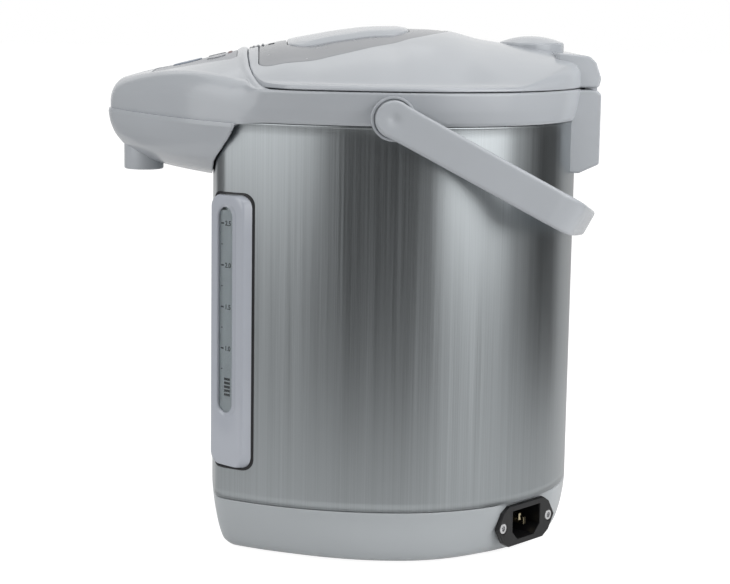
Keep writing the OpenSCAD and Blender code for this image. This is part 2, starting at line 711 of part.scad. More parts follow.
module pump_housing() {
  color([0.80, 0.80, 0.78]) difference() {
    union() {
      translate([0, -pump_y, pump_z]) cylinder(r = pump_r, h = pump_h);
      rod([0, -pump_y, pump_z + 13], outlet_start(), hose_bore + 1.2);
    }
    translate([0, -pump_y, pump_z + 2]) cylinder(r = pump_r - 3, h = pump_h - 4);
    translate([0, -pump_y, pump_z - 1]) cylinder(r = shaft_r + pin_fit, h = 6);
    translate([0, -pump_y, pump_z + pump_h - 3]) cylinder(r = hose_bore, h = 6);
    rod([0, -pump_y, pump_z + 13], outlet_start(), hose_bore - 0.6);
  }
}
module pump_impeller() {
  color([0.9, 0.9, 0.9]) translate([0, -pump_y, 0]) {
    translate([0, 0, base_z + floor_t + 7]) cylinder(r = shaft_r, h = pump_z + 5 - base_z - floor_t - 7);
    translate([0, 0, pump_z + 4]) cylinder(r = pump_r - 6, h = 2);
    translate([0, 0, pump_z + 5]) cylinder(r = shaft_r + 2.5, h = 6);
    for (a = [0:60:300]) rotate(a) translate([shaft_r + 1, -0.7, pump_z + 5])
      cube([pump_r - 9.5, 1.4, 7]);
  }
}
// hoses
function tube_foot() = let (p = gauge_pt(sight_x, sight_y)) p;
function outlet_dir() = let (p = tube_foot(), d = [p[0], p[1] + pump_y]) d / norm(d);
function outlet_start() = [outlet_dir()[0] * (pump_r + 6), -pump_y + outlet_dir()[1] * (pump_r + 6), pump_z + 13];
module inlet_hose() {
  color([0.82, 0.82, 0.78]) translate([0, -pump_y, pump_z + pump_h]) difference() {
    cylinder(r = hose_r + 0.6, h = vessel_z - 4 - pump_z - pump_h);
    translate([0, 0, -1]) cylinder(r = hose_bore, h = 40);
    translate([0, 0, vessel_z - 8 - pump_z - pump_h]) cylinder(r = 4 + 0.1, h = 40);
  }
}
module outlet_hose() {
  p = tube_foot();
  a = outlet_start();
  color([0.82, 0.82, 0.78]) hose([a, [p[0], p[1], a[2]], [p[0], p[1], sight_z0]], hose_r, hose_bore);
}
module riser_hose() {
  p = tube_foot();
  z = sight_z1 + 11;
  color([0.82, 0.82, 0.78]) hose([[p[0], p[1], sight_z1], [p[0], p[1], z], [0, -riser_y, z],
    [0, -riser_y, pipe_z], [0, -riser_y - 14, pipe_z]], hose_r, hose_bore);
}

// ---- power inlet ----
module inlet_outline_2d(w, h) {
  polygon([[-w / 2, 0], [-w / 2 + 5, -h / 2 + 3], [-w / 2 + 10, -h / 2], [w / 2 - 10, -h / 2],
    [w / 2 - 5, -h / 2 + 3], [w / 2, 0], [w / 2 - 5, h / 2 - 3], [w / 2 - 10, h / 2],
    [-w / 2 + 10, h / 2], [-w / 2 + 5, h / 2 - 3]]);
}
module facing() { rotate([-90, 0, 0]) children(); }
module power_inlet() {
  color([0.06, 0.06, 0.06]) at_inlet() difference() {
    union() {
      facing() linear_extrude(2.6) inlet_outline_2d(inlet_w, inlet_fh);
      translate([-13.9, -22, -9.6]) cube([27.8, 22 + e, 19.2]);
    }
    // recess for the plug, with its two cut corners
    translate([0, -15, 0]) facing() linear_extrude(30)
      polygon([[-12, -8], [-8, -8 + 0], [8, -8], [12, -8], [12, 3.4], [7.4, 8], [-7.4, 8], [-12, 3.4]]);
    for (s = [-1, 1]) translate([s * inlet_pitch / 2, -1, 0]) facing() {
      cylinder(r = 1.75, h = 8);
      translate([0, 0, 2.2]) cylinder(r1 = 1.75, r2 = 3.3, h = 1.5);
    }
    for (x = [-7, 0, 7]) translate([x, -30, x == 0 ? 2 : -2]) facing() cube_pin(0.02, 40);
  }
}
module cube_pin(o, l) { translate([-1 - o, -2 - o, 0]) cube([2 + 2 * o, 4 + 2 * o, l]); }
module inlet_pins() {
  color([0.85, 0.78, 0.55]) at_inlet() for (x = [-7, 0, 7])
    translate([x, -26, x == 0 ? 2 : -2]) facing() cube_pin(0, x == 0 ? 24 : 22);
}
module inlet_screws() {
  color([0.75, 0.75, 0.77]) at_inlet() for (s = [-1, 1])
    translate([s * inlet_pitch / 2, 0, 0]) facing() {
      translate([0, 0, -6]) cylinder(r = 1.45, h = 7.6);
      translate([0, 0, 1.25]) cylinder(r1 = 1.7, r2 = 3.1, h = 1.3);
    }
}

// ---- handle, drawn lying along +Y from its pivot, then turned to its rest ----
disc_r = arm_w / 2 + 0.4;                   // round end of each arm
arch_cy = grip_reach - grip_arch;           // centre of the grip's arch
module loop_2d(half, r, corner) {
  // straight arms and an arch of radius r, joined by two tangent corners
  cx = half - corner;
  cy = arch_cy + sqrt(pow(r - corner, 2) - cx * cx);
  reach = cx * r / (r - corner);
  translate([-half, -20]) square([2 * half, cy + 20]);
  for (s = [-1, 1]) translate([s * cx, cy]) circle(r = corner);
  intersection() {
    translate([0, arch_cy]) circle(r = r, $fn = 256);
    translate([-reach, 0]) square([2 * reach, 300]);
  }
}
module handle() {
  w = arm_w / 2;
  g = grip_w / 2;
  color([0.50, 0.50, 0.52]) translate([0, -pivot_y, pivot_z]) rotate([-rest_angle, 0, 0])
    difference() {
      intersection() {
        translate([0, 0, -disc_r]) linear_extrude(2 * disc_r) difference() {
          loop_2d(arm_x + arm_t, grip_arch + grip_t, 20);
          loop_2d(arm_x, grip_arch, 14);
        }
        union() {
          // the arms taper into the narrower grip
          along_x(200) polygon([[0, -w], [grip_reach - 22, -w], [grip_reach - 3, -g],
            [grip_reach + 40, -g], [grip_reach + 40, g], [grip_reach - 3, g],
            [grip_reach - 22, w], [0, w]]);
          translate([-200, 0, 0]) rotate([0, 90, 0]) cylinder(r = disc_r, h = 400);
        }
      }
      translate([-200, 0, 0]) rotate([0, 90, 0]) cylinder(r = 3.5 + pin_fit, h = 400);
      for (s = [-1, 1]) translate([s * (arm_x + arm_t - 1.6), 0, 0]) rotate([0, s * 90, 0])
        cylinder(r = 6 + pin_fit, h = 20);
    }
}
module handle_pivots() {
  color([0.46, 0.46, 0.48]) for (s = [-1, 1]) translate([s * (arm_x - 8), -pivot_y, pivot_z])
    rotate([0, s * 90, 0]) {
      cylinder(r = 3.5, h = arm_t + 8 - 1.5);
      translate([0, 0, arm_t + 8 - 1.55]) cylinder(r = 6, h = 1.1);
    }
}
module hinge_pin() {
  color([0.72, 0.72, 0.74]) translate([-hinge_hw + 2, hinge_y, hinge_z]) rotate([0, 90, 0])
    cylinder(r = hinge_pin_r, h = 2 * hinge_hw - 4);
}

// ---- lid ----
vent_z = crest(vent_y) - 3.4;
module inset_2d(o) {
  intersection() {
    translate([0, -lid_front + 7]) scale([inset_hw + o, inset_l + o]) circle(r = 1, $fn = 96);
    translate([-100, -lid_front + 7 - o]) square([200, 200]);
  }
}
pad_cy = -28;
latch_hw = 13;
latch_l = 11;
latch_travel = 3;
latch_end = -lid_front + latch_l + latch_travel + 0.6;
// strip along X under the crest line, from depth d0 to d1, between y0 and y1
module crest_strip(hw, y0, y1, d0, d1) {
  ys = [for (i = [0:4]) y0 + (y1 - y0) * i / 4];
  along_x(hw) polygon(concat([for (y = ys) [y, crest(y) - d0]],
    [for (i = [4:-1:0]) [ys[i], crest(ys[i]) - d1]]));
}
module pad_2d(o) {
  hull() for (s = [-1, 1]) {
    translate([s * (pad_hw - 12), pad_cy - pad_l / 2 + 12]) circle(r = 12 + o, $fn = 32);
    translate([s * (pad_hw - 18), pad_cy + pad_l / 2 - 14]) circle(r = 14 + o, $fn = 32);
  }
}
inset_t = 1.6;
module lid_block() {
  // rear part of the lid over the hinge ears, and the knuckle between them
  z = lid_z;
  y = hinge_y;
  along_x(hinge_hw) polygon([[84, z], [y + 1.8, z], [y + ear_back - 0.2, z + 4.8],
    [y + 0.2, z + 13.4], [y - 3.4, z + 17], [84, z + 18.4]]);
  along_x(knuckle_hw) polygon([[y - 4, z + e], [y - 4, hinge_z], [y + 3.2, hinge_z], [y + 3.2, z + e]]);
  translate([-knuckle_hw, y, hinge_z]) rotate([0, 90, 0]) cylinder(r = 3.2, h = 2 * knuckle_hw);
}
module lid_shell() {
  color([0.52, 0.52, 0.54]) difference() {
    union() {
      difference() {
        dome(0, lid_z, 0);
        front_of(lid_front);
      }
      lid_block();
    }
    intersection() {
      dome(-wall, lid_z - 1, wall + inset_t);
      difference() {
        translate([-150, -lid_front + wall, 0]) cube([300, 170, 400]);
        translate([-hinge_hw, 86, 0]) cube([2 * hinge_hw, 60, 400]);
      }
    }
    // seat of the inset
    difference() {
      translate([0, 0, lid_z + 3]) linear_extrude(60) inset_2d(gap / 2);
      translate([0, 0, -1 - inset_t]) dome(0, lid_z - 5, 0);
    }
    translate([0, 0, seam_z]) linear_extrude(100) pad_2d(1.2);
    translate([0, vent_y, vent_z]) cylinder(r = vent_r + gap / 2, h = 40);
    translate([0, vent_y, lid_z + 3]) cylinder(r = 8.2, h = 40);
    crest_strip(latch_hw + gap, -lid_front - 1, latch_end, -3, 2.8);
    translate([-100, hinge_y, hinge_z]) rotate([0, 90, 0]) cylinder(r = hinge_pin_r + pin_fit, h = 200);
  }
}
module lid_inset() {
  color([0.42, 0.42, 0.44]) difference() {
    intersection() {
      difference() {
        translate([0, 0, lid_z + 3]) linear_extrude(60) inset_2d(0);
        translate([0, 0, -1 - inset_t + 0.05]) dome(0, lid_z - 5, 0);
      }
      translate([0, 0, -1]) dome(0, lid_z, 0);
    }
    translate([0, 0, seam_z]) linear_extrude(100) pad_2d(0.5);
    crest_strip(latch_hw + gap, -lid_front - 1, latch_end, -3, 6);
    translate([0, vent_y, vent_z]) cylinder(r = vent_r + 1, h = 40);
  }
}
flange_t = 1.2;                             // edge of the lid base
pad_bottom = lid_z + flange_t + pad_travel + 0.8;  // clears the lid base at full travel
bellows_z0 = lid_z;
bellows_z1 = crest_z - 12;
bellows_r = 24;
ribs = 6;
module press_pad() {
  color([0.50, 0.50, 0.52]) {
    difference() {
      intersection() {
        translate([0, 0, pad_bottom]) linear_extrude(60) pad_2d(0);
        translate([0, 0, pad_h - 1]) dome(0, lid_z - 20, 0);
      }
      intersection() {
        translate([0, 0, pad_bottom - 1]) linear_extrude(60) pad_2d(-wall);
        crest_strip(60, pad_cy - pad_l, pad_cy + pad_l, wall + 3, 60);
      }
    }
    // stem that presses the bellows
    translate([0, pad_cy, bellows_z1]) cylinder(r = 9, h = crest(pad_cy) - bellows_z1 - 2);
  }
}
module pump_bellows() {
  h = (bellows_z1 - bellows_z0) / ribs;
  outer = [for (i = [0:2 * ribs]) [bellows_r - (i % 2 == 0 ? 4 : 0), bellows_z0 + i * h / 2]];
  color([0.15, 0.15, 0.16]) translate([0, pad_cy, 0]) {
    rotate_extrude($fn = 48) polygon(concat(outer,
      [for (i = [2 * ribs:-1:0]) outer[i] - [1.4, 0]]));
    translate([0, 0, bellows_z1 - 1.2]) cylinder(r = bellows_r - 4.6, h = 1.2);
  }
}
// coil spring: one unbroken tube through rings along a helix
module coil(r, wire, z0, z1, turns, step = 30, sides = 5) {
  n = turns * 360 / step;
  function ring(k) = let (a = k * step, z = z0 + (z1 - z0) * k / n)
    [for (i = [0:sides - 1]) let (b = 360 * i / sides)
      [(r + wire * cos(b)) * cos(a), (r + wire * cos(b)) * sin(a), z + wire * sin(b)]];
  skin([for (k = [0:n]) ring(k)]);
}
module pad_spring() {
  color([0.7, 0.7, 0.72]) translate([0, pad_cy, 0])
    coil(12, 0.7, bellows_z0 + 0.8, bellows_z1 - 2.1, 6);
}
module lid_base() {
  color([0.78, 0.78, 0.78]) difference() {
    union() {
      translate([0, 0, seam_z - 4.7]) cylinder(r = recess_r - 1.8, h = lid_z - seam_z + 4.7, $fn = 96);
      difference() {
        plan_prism(-7, lid_z, lid_z + flange_t);
        front_of(lid_front - wall - gap);
        translate([-hinge_hw - gap, 84 - gap, 0]) cube([2 * (hinge_hw + gap), 60, 400]);
        translate([0, pad_cy, 0]) cylinder(r = bellows_r + 2, h = 400);
      }
    }
    front_of(lid_front - 1);
    translate([0, pad_cy, 0]) cylinder(r = 8, h = 400);
    translate([0, valve_y, 0]) cylinder(r = 6 + gap / 2, h = 400);
    translate([0, valve_y, lid_z]) cylinder(r = 8 + gap, h = 20);
    translate([0, 0, seam_z - 1.6]) difference() {
      cylinder(r = 60, h = 20, $fn = 96);
      translate([0, pad_cy, -1]) cylinder(r = bellows_r + 3, h = 30);
      translate([0, valve_y, -1]) cylinder(r = 9, h = 30);
      for (a = [0:60:300]) rotate(a + 30) translate([0, -1.5, -1]) cube([70, 3, 30]);
    }
  }
}
valve_y = 62;
module inner_plate() {
  color([0.76, 0.77, 0.78]) difference() {
    translate([0, 0, seam_z - 6.3]) cylinder(r = vessel_r - 3, h = 1.6, $fn = 96);
    translate([0, valve_y, 0]) cylinder(r = 6 + gap / 2, h = 400);
    for (a = [0:60:300]) translate([0, pad_cy, 0]) rotate(a) translate([5, 0, 0]) cylinder(r = 1.6, h = 400);
  }
}
module lid_seal() {
  color([0.85, 0.85, 0.85]) translate([0, 0, rim_z + vessel_t + 0.2]) difference() {
    cylinder(r = recess_r - 2, h = seam_z - 4.7 - rim_z - vessel_t - 0.2, $fn = 96);
    translate([0, 0, -1]) cylinder(r = vessel_r + 1.5, h = 40, $fn = 96);
  }
}
module steam_vent_cap() {
  color([0.48, 0.48, 0.50]) translate([0, vent_y, vent_z]) difference() {
    union() {
      rotate_extrude($fn = 96) intersection() {
        union() {
          square([vent_r, 3.4]);
          translate([0, 8.6 - vent_r * 2.6]) circle(r = vent_r * 2.6, $fn = 256);
        }
        union() {
          square([vent_r - 1, 20]);
          translate([vent_r - 2.5, 3.4]) circle(r = 2.5);
          square([vent_r, 3.4]);
        }
      }
      translate([0, 0, -9]) cylinder(r = 7.8, h = 9 + e);
    }
    translate([0, 0, -10]) cylinder(r = 5.6, h = 14);
    for (a = [0:60:300]) rotate(a) translate([4, 0, 3]) cylinder(r = 1.1, h = 10);
  }
}
module vent_valve() {
  color([0.86, 0.86, 0.86]) translate([0, valve_y, seam_z - 6.3]) difference() {
    union() {
      cylinder(r = 6, h = 12);
      translate([0, 0, 6.9]) cylinder(r = 8, h = 2);
    }
    translate([0, 0, -1]) cylinder(r = 3.4, h = 20);
  }
}
module lid_latch() {
  color([0.36, 0.36, 0.38]) {
    crest_strip(latch_hw, -lid_front + 1.4, -lid_front + latch_l, 0.8, 2.5);
    for (y = [3, 5.5, 8]) translate([-latch_hw + 3, -lid_front + y, crest(-lid_front + y) - 0.7])
      rotate([0, 90, 0]) cylinder(r = 0.8, h = 2 * latch_hw - 6, $fn = 24);
  }
}

base_shell();
bottom_cover();
bottom_screws();
rubber_feet();
steel_wrap();
collar();
spout_cover();
nozzle();
spout_pipe();
control_panel();
dispense_button();
reboil_button();
lock_button();
indicator_lens();
panel_board();
power_board();
gauge_gasket();
gauge_frame();
gauge_window();
gauge_scale();
sight_tube();
water_vessel();
insulation_jacket();
main_heater();
keep_warm_band();
thermostats();
pump_mount();
pump_motor();
pump_housing();
pump_impeller();
inlet_hose();
outlet_hose();
riser_hose();
power_inlet();
inlet_pins();
inlet_screws();
handle();
handle_pivots();
hinge_pin();
lid_shell();
lid_inset();
press_pad();
pump_bellows();
pad_spring();
lid_base();
inner_plate();
lid_seal();
steam_vent_cap();
vent_valve();
lid_latch();
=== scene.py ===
import bpy
import numpy as np
from math import asin, cos, pi, radians, sin, sqrt
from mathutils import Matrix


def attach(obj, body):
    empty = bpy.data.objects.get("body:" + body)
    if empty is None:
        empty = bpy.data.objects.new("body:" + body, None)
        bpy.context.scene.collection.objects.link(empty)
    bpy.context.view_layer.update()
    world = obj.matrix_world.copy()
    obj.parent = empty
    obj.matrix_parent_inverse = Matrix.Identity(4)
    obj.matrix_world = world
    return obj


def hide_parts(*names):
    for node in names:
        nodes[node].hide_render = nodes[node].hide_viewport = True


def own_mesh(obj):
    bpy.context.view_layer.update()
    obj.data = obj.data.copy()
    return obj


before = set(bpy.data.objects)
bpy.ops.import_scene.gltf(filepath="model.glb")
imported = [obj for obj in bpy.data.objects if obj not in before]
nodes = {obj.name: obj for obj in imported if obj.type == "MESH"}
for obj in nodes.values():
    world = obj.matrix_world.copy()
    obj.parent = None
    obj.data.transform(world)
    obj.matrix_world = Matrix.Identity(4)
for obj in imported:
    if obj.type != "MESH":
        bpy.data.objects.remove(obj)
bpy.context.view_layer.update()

scene = bpy.context.scene
mm = 0.001

# sizes below are millimetres in the part's own frame, and meshes get metres
body = {"rear": 100, "side": 167, "sideTurn": 33.5, "corner": 15, "front": 700,
        "gaugeTurn": 46, "gaugeShift": 2.0}
heights = {"base": 29, "collar": 231, "seam": 248.2, "lid": 248.8, "rim": 238.6, "lidSide": 251.3}
spout = {"reach": 159.4, "halfWidth": 77, "root": 88}

print("camera")
camera = {"distance": 1060.14, "height": 298.0, "turn": -0.069713, "pitch": 0.157084,
          "yaw": 0.014819, "roll": 0.016002, "focalPixels": 1892.16, "imageWidth": 730}


def placeCamera(c):
    turn = np.array([[cos(c["turn"]), -sin(c["turn"]), 0], [sin(c["turn"]), cos(c["turn"]), 0], [0, 0, 1]])
    ahead = turn @ np.array([-cos(c["pitch"]) * cos(c["yaw"]), -cos(c["pitch"]) * sin(c["yaw"]), -sin(c["pitch"])])
    right = np.cross(ahead, [0, 0, 1])
    right /= np.linalg.norm(right)
    up = np.cross(right, ahead)
    across = cos(c["roll"]) * right + sin(c["roll"]) * up
    upright = cos(c["roll"]) * up - sin(c["roll"]) * right
    place = np.array([c["distance"] * cos(c["turn"]), c["distance"] * sin(c["turn"]), c["height"]]) * mm
    matrix = np.eye(4)
    matrix[:3, 0], matrix[:3, 1], matrix[:3, 2], matrix[:3, 3] = across, upright, -ahead, place
    data = bpy.data.cameras.new("productCamera")
    data.sensor_fit = "HORIZONTAL"
    data.sensor_width = 36
    data.lens = c["focalPixels"] / c["imageWidth"] * data.sensor_width
    holder = bpy.data.objects.new("productCamera", data)
    holder.matrix_world = matrix.T.tolist()
    scene.collection.objects.link(holder)
    scene.camera = holder


placeCamera(camera)


# a node socket that takes part in sums; each operation adds one Math node
class Wire:
    def __init__(self, finish, socket):
        self.finish, self.socket = finish, socket

    def joined(self, operation, first, second):
        return self.finish.add("ShaderNodeMath", {"operation": operation}, {0: first, 1: second})

    def __add__(self, other): return self.joined("ADD", self, other)
    def __radd__(self, other): return self.joined("ADD", other, self)
    def __mul__(self, other): return self.joined("MULTIPLY", self, other)


# one material, or the world, and the nodes in it
class Finish:
    def __init__(self, name, owner=None):
        self.material = owner or bpy.data.materials.new(name)
        self.material.use_nodes = True
        self.tree = self.material.node_tree
        self.tree.nodes.clear()

    def add(self, kind, settings=None, sockets=None, output=0):
        made = self.tree.nodes.new(kind)
        for key, value in (settings or {}).items():
            setattr(made, key, value)
        for key, value in (sockets or {}).items():
            if isinstance(value, Wire):
                self.tree.links.new(value.socket, made.inputs[key])
            else:
                made.inputs[key].default_value = value
        return Wire(self, made.outputs[output]) if len(made.outputs) else None

    def place(self, scale=(1, 1, 1)):
        where = self.add("ShaderNodeTexCoord", output=3)
        return self.add("ShaderNodeMapping", {}, {"Vector": where, "Scale": scale})

    def noise(self, scale, stretch=(1, 1, 1), detail=2.0):
        return self.add("ShaderNodeTexNoise", {}, {"Vector": self.place(stretch), "Scale": scale, "Detail": detail})

    def ramp(self, value, low, high, start=0.0, end=1.0):
        return self.add("ShaderNodeMapRange", {"clamp": True}, {
            "Value": value, "From Min": low, "From Max": high, "To Min": start, "To Max": end})

    def blendTones(self, factor, first, second):
        return self.add("ShaderNodeMix", {"data_type": "RGBA"},
                        {0: factor, 6: (*first, 1), 7: (*second, 1)}, output=2)

    # 1 for the kinds of ray that are named, else 0
    def rays(self, first, *others):
        seen = self.add("ShaderNodeLightPath", output=first)
        for kind in others:
            more = self.add("ShaderNodeLightPath", output=kind)
            seen = self.add("ShaderNodeMath", {"operation": "MAXIMUM"}, {0: seen, 1: more})
        return seen

    def relief(self, height, strength, distance):
        return self.add("ShaderNodeBump", {}, {"Height": height, "Strength": strength, "Distance": distance})

    def close(self, **sockets):
        named = {key.replace("_", " "): value for key, value in sockets.items()}
        return self.addOutput(self.add("ShaderNodeBsdfPrincipled", {}, named))

    def addOutput(self, surface):
        self.add("ShaderNodeOutputMaterial", {}, {"Surface": surface})
        return self.material


def lighter(tone, factor):
    return tuple(min(1.0, channel * factor) for channel in tone)


# moulded plastic: faint flow clouds, a fine pebble in the gloss and slightly duller patches
def mouldedPlastic(name, tone, roughness, grain=0.05, clouds=0.03, coat=0.0):
    f = Finish(name)
    cloud = f.noise(16, (1, 1, 0.6), 3)
    handled = f.noise(90, (1, 1, 1), 4)
    pebble = f.noise(1500, (1, 1, 1), 1)
    spread = f.ramp(cloud, 0.3, 0.7)
    colour = f.blendTones(spread, lighter(tone, 1 - clouds), lighter(tone, 1 + clouds))
    return f.close(Base_Color=colour, Roughness=handled * 0.08 + (roughness - 0.04), Specular_IOR_Level=0.5,
                   Coat_Weight=coat, Coat_Roughness=0.08, Normal=f.relief(pebble, grain, 0.0002))


# brushed sheet: fine scratches along Z, broader streaks, and wide soft vertical bands that are painted reflection in
# the colour and also vary the roughness
def brushedSheet(name, tone, across=2200, along=7, roughness=0.29):
    f = Finish(name)
    hair = f.noise(1, (across, across, along), 3)
    streak = f.noise(1, (across * 0.16, across * 0.16, along * 0.35), 2)
    # painted reflection: wide soft light and dark vertical bands in the base colour, mixed in with the scratches and
    # streaks
    paintedReflectionBands = f.noise(1, (38, 38, 1.5), 1)
    mixed = f.ramp(hair * 0.55 + streak * 0.3 + paintedReflectionBands * 0.15, 0.34, 0.66)
    colour = f.blendTones(mixed, lighter(tone, 0.88), lighter(tone, 1.10))
    return f.close(Base_Color=colour, Metallic=1.0, Roughness=roughness + mixed * 0.12,
                   Anisotropic=0.55, Anisotropic_Rotation=0.25, Normal=f.relief(hair, 0.12, 0.0001))


# plain metal: a satin grain with a few duller marks
def plainMetal(name, tone, roughness):
    f = Finish(name)
    marks = f.noise(220, (1, 1, 1), 4)
    fine = f.noise(2600, (1, 1, 0.2), 1)
    colour = f.blendTones(f.ramp(marks, 0.35, 0.7), lighter(tone, 0.9), lighter(tone, 1.06))
    return f.close(Base_Color=colour, Metallic=1.0, Roughness=marks * 0.15 + (roughness - 0.07),
                   Normal=f.relief(fine, 0.06, 0.0001))


# rubber and felt: dull, with a coarse or fibrous grain
def dullSurface(name, tone, roughness, grainScale, grain):
    f = Finish(name)
    dust = f.noise(60, (1, 1, 1), 3)
    bits = f.noise(grainScale, (1, 1, 1), 3)
    colour = f.blendTones(f.ramp(dust, 0.35, 0.7), lighter(tone, 0.9), lighter(tone, 1.12))
    return f.close(Base_Color=colour, Roughness=dust * 0.1 + (roughness - 0.05), Normal=f.relief(bits, grain, 0.0004))


# clear moulding: hardly tinted, with faint wipe marks in its gloss
def clearPane(name, tone, roughness):
    f = Finish(name)
    wipes = f.noise(40, (1, 1, 3), 3)
    colour = f.blendTones(f.ramp(wipes, 0.3, 0.7), lighter(tone, 0.97), tone)
    return f.close(Base_Color=colour, Roughness=wipes * 0.06 + roughness, Transmission_Weight=1.0, IOR=1.3,
                   Specular_IOR_Level=0.5)


# printed board: green lacquer with lighter tracks
def circuitBoard(name):
    f = Finish(name)
    tracks = f.add("ShaderNodeTexBrick", {"offset": 0.5}, {
        "Vector": f.place(), "Scale": 260, "Mortar Size": 0.12, "Color1": (0, 0, 0, 1), "Color2": (0, 0, 0, 1),
        "Mortar": (1, 1, 1, 1)}, output=1)
    colour = f.blendTones(tracks, (0.02, 0.13, 0.05), (0.05, 0.25, 0.1))
    return f.close(Base_Color=colour, Roughness=tracks * 0.1 + 0.3)


tones = {"shell": (0.415, 0.436, 0.463), "base": (0.40, 0.425, 0.442), "inset": (0.205, 0.216, 0.232),
         "panel": (0.28, 0.293, 0.318), "frame": (0.42, 0.443, 0.492), "steel": (0.405, 0.432, 0.446)}
finishes = {
    "shell": mouldedPlastic("shellPlastic", tones["shell"], 0.22, 0.03, 0.02, 0.15),
    "base": mouldedPlastic("basePlastic", tones["base"], 0.30, 0.05, 0.02, 0.2),
    "inset": mouldedPlastic("insetPlastic", tones["inset"], 0.26, 0.05, 0.02, 0.2),
    "panel": mouldedPlastic("panelPlastic", tones["panel"], 0.32, 0.06, 0.02),
    "frame": mouldedPlastic("gaugeFramePlastic", tones["frame"], 0.18, 0.03, 0.015, 0.3),
    "steel": brushedSheet("brushedSteel", tones["steel"]),
    "vessel": brushedSheet("vesselSteel", (0.62, 0.62, 0.62), 900, 60, 0.25),
    "bright": plainMetal("brightSteel", (0.72, 0.72, 0.73), 0.22),
    "brass": plainMetal("pinBrass", (0.62, 0.54, 0.36), 0.28),
    "clear": clearPane("clearWindow", (0.90, 0.94, 0.96), 0.02),
    "black": mouldedPlastic("blackPlastic", (0.006, 0.006, 0.007), 0.42, 0.06, 0.1),
    "white": mouldedPlastic("whitePlastic", (0.76, 0.77, 0.77), 0.34, 0.05, 0.02),
    "blue": mouldedPlastic("blueKey", (0.25, 0.285, 0.345), 0.3, 0.05, 0.03),
    "key": mouldedPlastic("greyKey", (0.36, 0.37, 0.39), 0.3, 0.05, 0.02),
    "red": mouldedPlastic("redLens", (0.21, 0.13, 0.13), 0.15, 0.02, 0.03, 0.4),
    "rubber": dullSurface("blackRubber", (0.010, 0.010, 0.012), 0.5, 900, 0.2),
    "silicone": dullSurface("siliconeRubber", (0.62, 0.62, 0.58), 0.5, 700, 0.1),
    "felt": dullSurface("insulationFelt", (0.66, 0.63, 0.55), 0.95, 1300, 0.8),
    "board": circuitBoard("boardLacquer"),
    "dark": mouldedPlastic("darkPlastic", (0.18, 0.185, 0.2), 0.4, 0.08, 0.03),
    "scale": mouldedPlastic("scalePlastic", (0.30, 0.315, 0.32), 0.3, 0.04, 0.04),
    "ink": mouldedPlastic("scaleInk", (0.008, 0.008, 0.01), 0.6, 0.05, 0.05),
}
print("finishes ready:", len(finishes))


# corner numbers of the quads between neighbouring rows and columns; wrap joins the last column to
# the first and closed the last row to the first
def weave(rows, columns, wrap, closed):
    index = np.arange(rows * columns).reshape(rows, columns)
    if wrap:
        index = np.concatenate([index, index[:, :1]], 1)
    if closed:
        index = np.concatenate([index, index[:1]], 0)
    return np.stack([index[:-1, :-1], index[:-1, 1:], index[1:, 1:], index[1:, :-1]], -1)


# a grid of points (rows, columns, xyz) becomes quads between neighbours; a capped end gets
# a fan to the mean of its row, and keep() drops the quads whose middle it refuses
def gridMesh(name, grid, wrap=True, closed=False, capStart=False, capEnd=False, keep=None, turn=False):
    rows, columns = grid.shape[:2]
    quads = weave(rows, columns, wrap, closed).reshape(-1, 4)
    points = grid.reshape(-1, 3)
    if keep is not None:
        quads = quads[keep(points[quads].mean(1))]
    faces = quads.tolist()
    extra = []
    for wanted, row, flip in ((capStart, 0, True), (capEnd, rows - 1, False)):
        if wanted:
            ring = row * columns + np.arange(columns)
            following = np.roll(ring, -1)
            middle = np.full(columns, len(points) + len(extra))
            fan = np.stack([following, ring, middle] if flip else [ring, following, middle], 1)
            faces += fan.tolist()
            extra.append(grid[row].mean(0))
    if extra:
        points = np.concatenate([points, np.array(extra)])
    if turn:
        faces = [face[::-1] for face in faces]
    mesh = bpy.data.meshes.new(name)
    mesh.from_pydata((points * mm).tolist(), [], faces)
    mesh.validate()
    return mesh


# an object at the origin with its finish, the body that it rides on and the nodes that it stands for
def makePiece(name, mesh, finish, bodyName, replaced=(), sharp=38):
    mesh.shade_smooth()
    if sharp:
        mesh.set_sharp_from_angle(angle=radians(sharp))
    piece = bpy.data.objects.new(name, mesh)
    scene.collection.objects.link(piece)
    mesh.materials.append(finishes[finish])
    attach(piece, bodyName)
    if replaced:
        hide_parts(*replaced)
    return piece


# a wall of even thickness, put on the inner side of the surface
def thicken(piece, amount):
    wall = piece.modifiers.new("wall", "SOLIDIFY")
    wall.thickness = amount * mm
    wall.offset = -1
    wall.use_even_offset = False
    wall.use_quality_normals = True


def roundEdges(piece, width, segments=2, angle=35):
    bevel = piece.modifiers.new("edges", "BEVEL")
    bevel.width = width * mm
    bevel.segments = segments
    bevel.limit_method = "ANGLE"
    bevel.angle_limit = radians(angle)
    bevel.harden_normals = True


# points on an arc: centre plus radius times the cosine and sine of evenly spaced angles, end left out
def arc(cx, cy, radius, start, end, count):
    a = np.radians(np.linspace(start, end, count, endpoint=False))
    return np.stack([cx + radius * np.cos(a), cy + radius * np.sin(a)], 1)


# middle of the round front corner: where the side arc, turned from the X axis, hands over to it
def cornerMiddle():
    b = body
    turn = radians(b["sideTurn"])
    return (b["rear"] - b["side"] + (b["side"] - b["corner"]) * cos(turn),
            -(b["side"] - b["corner"]) * sin(turn))


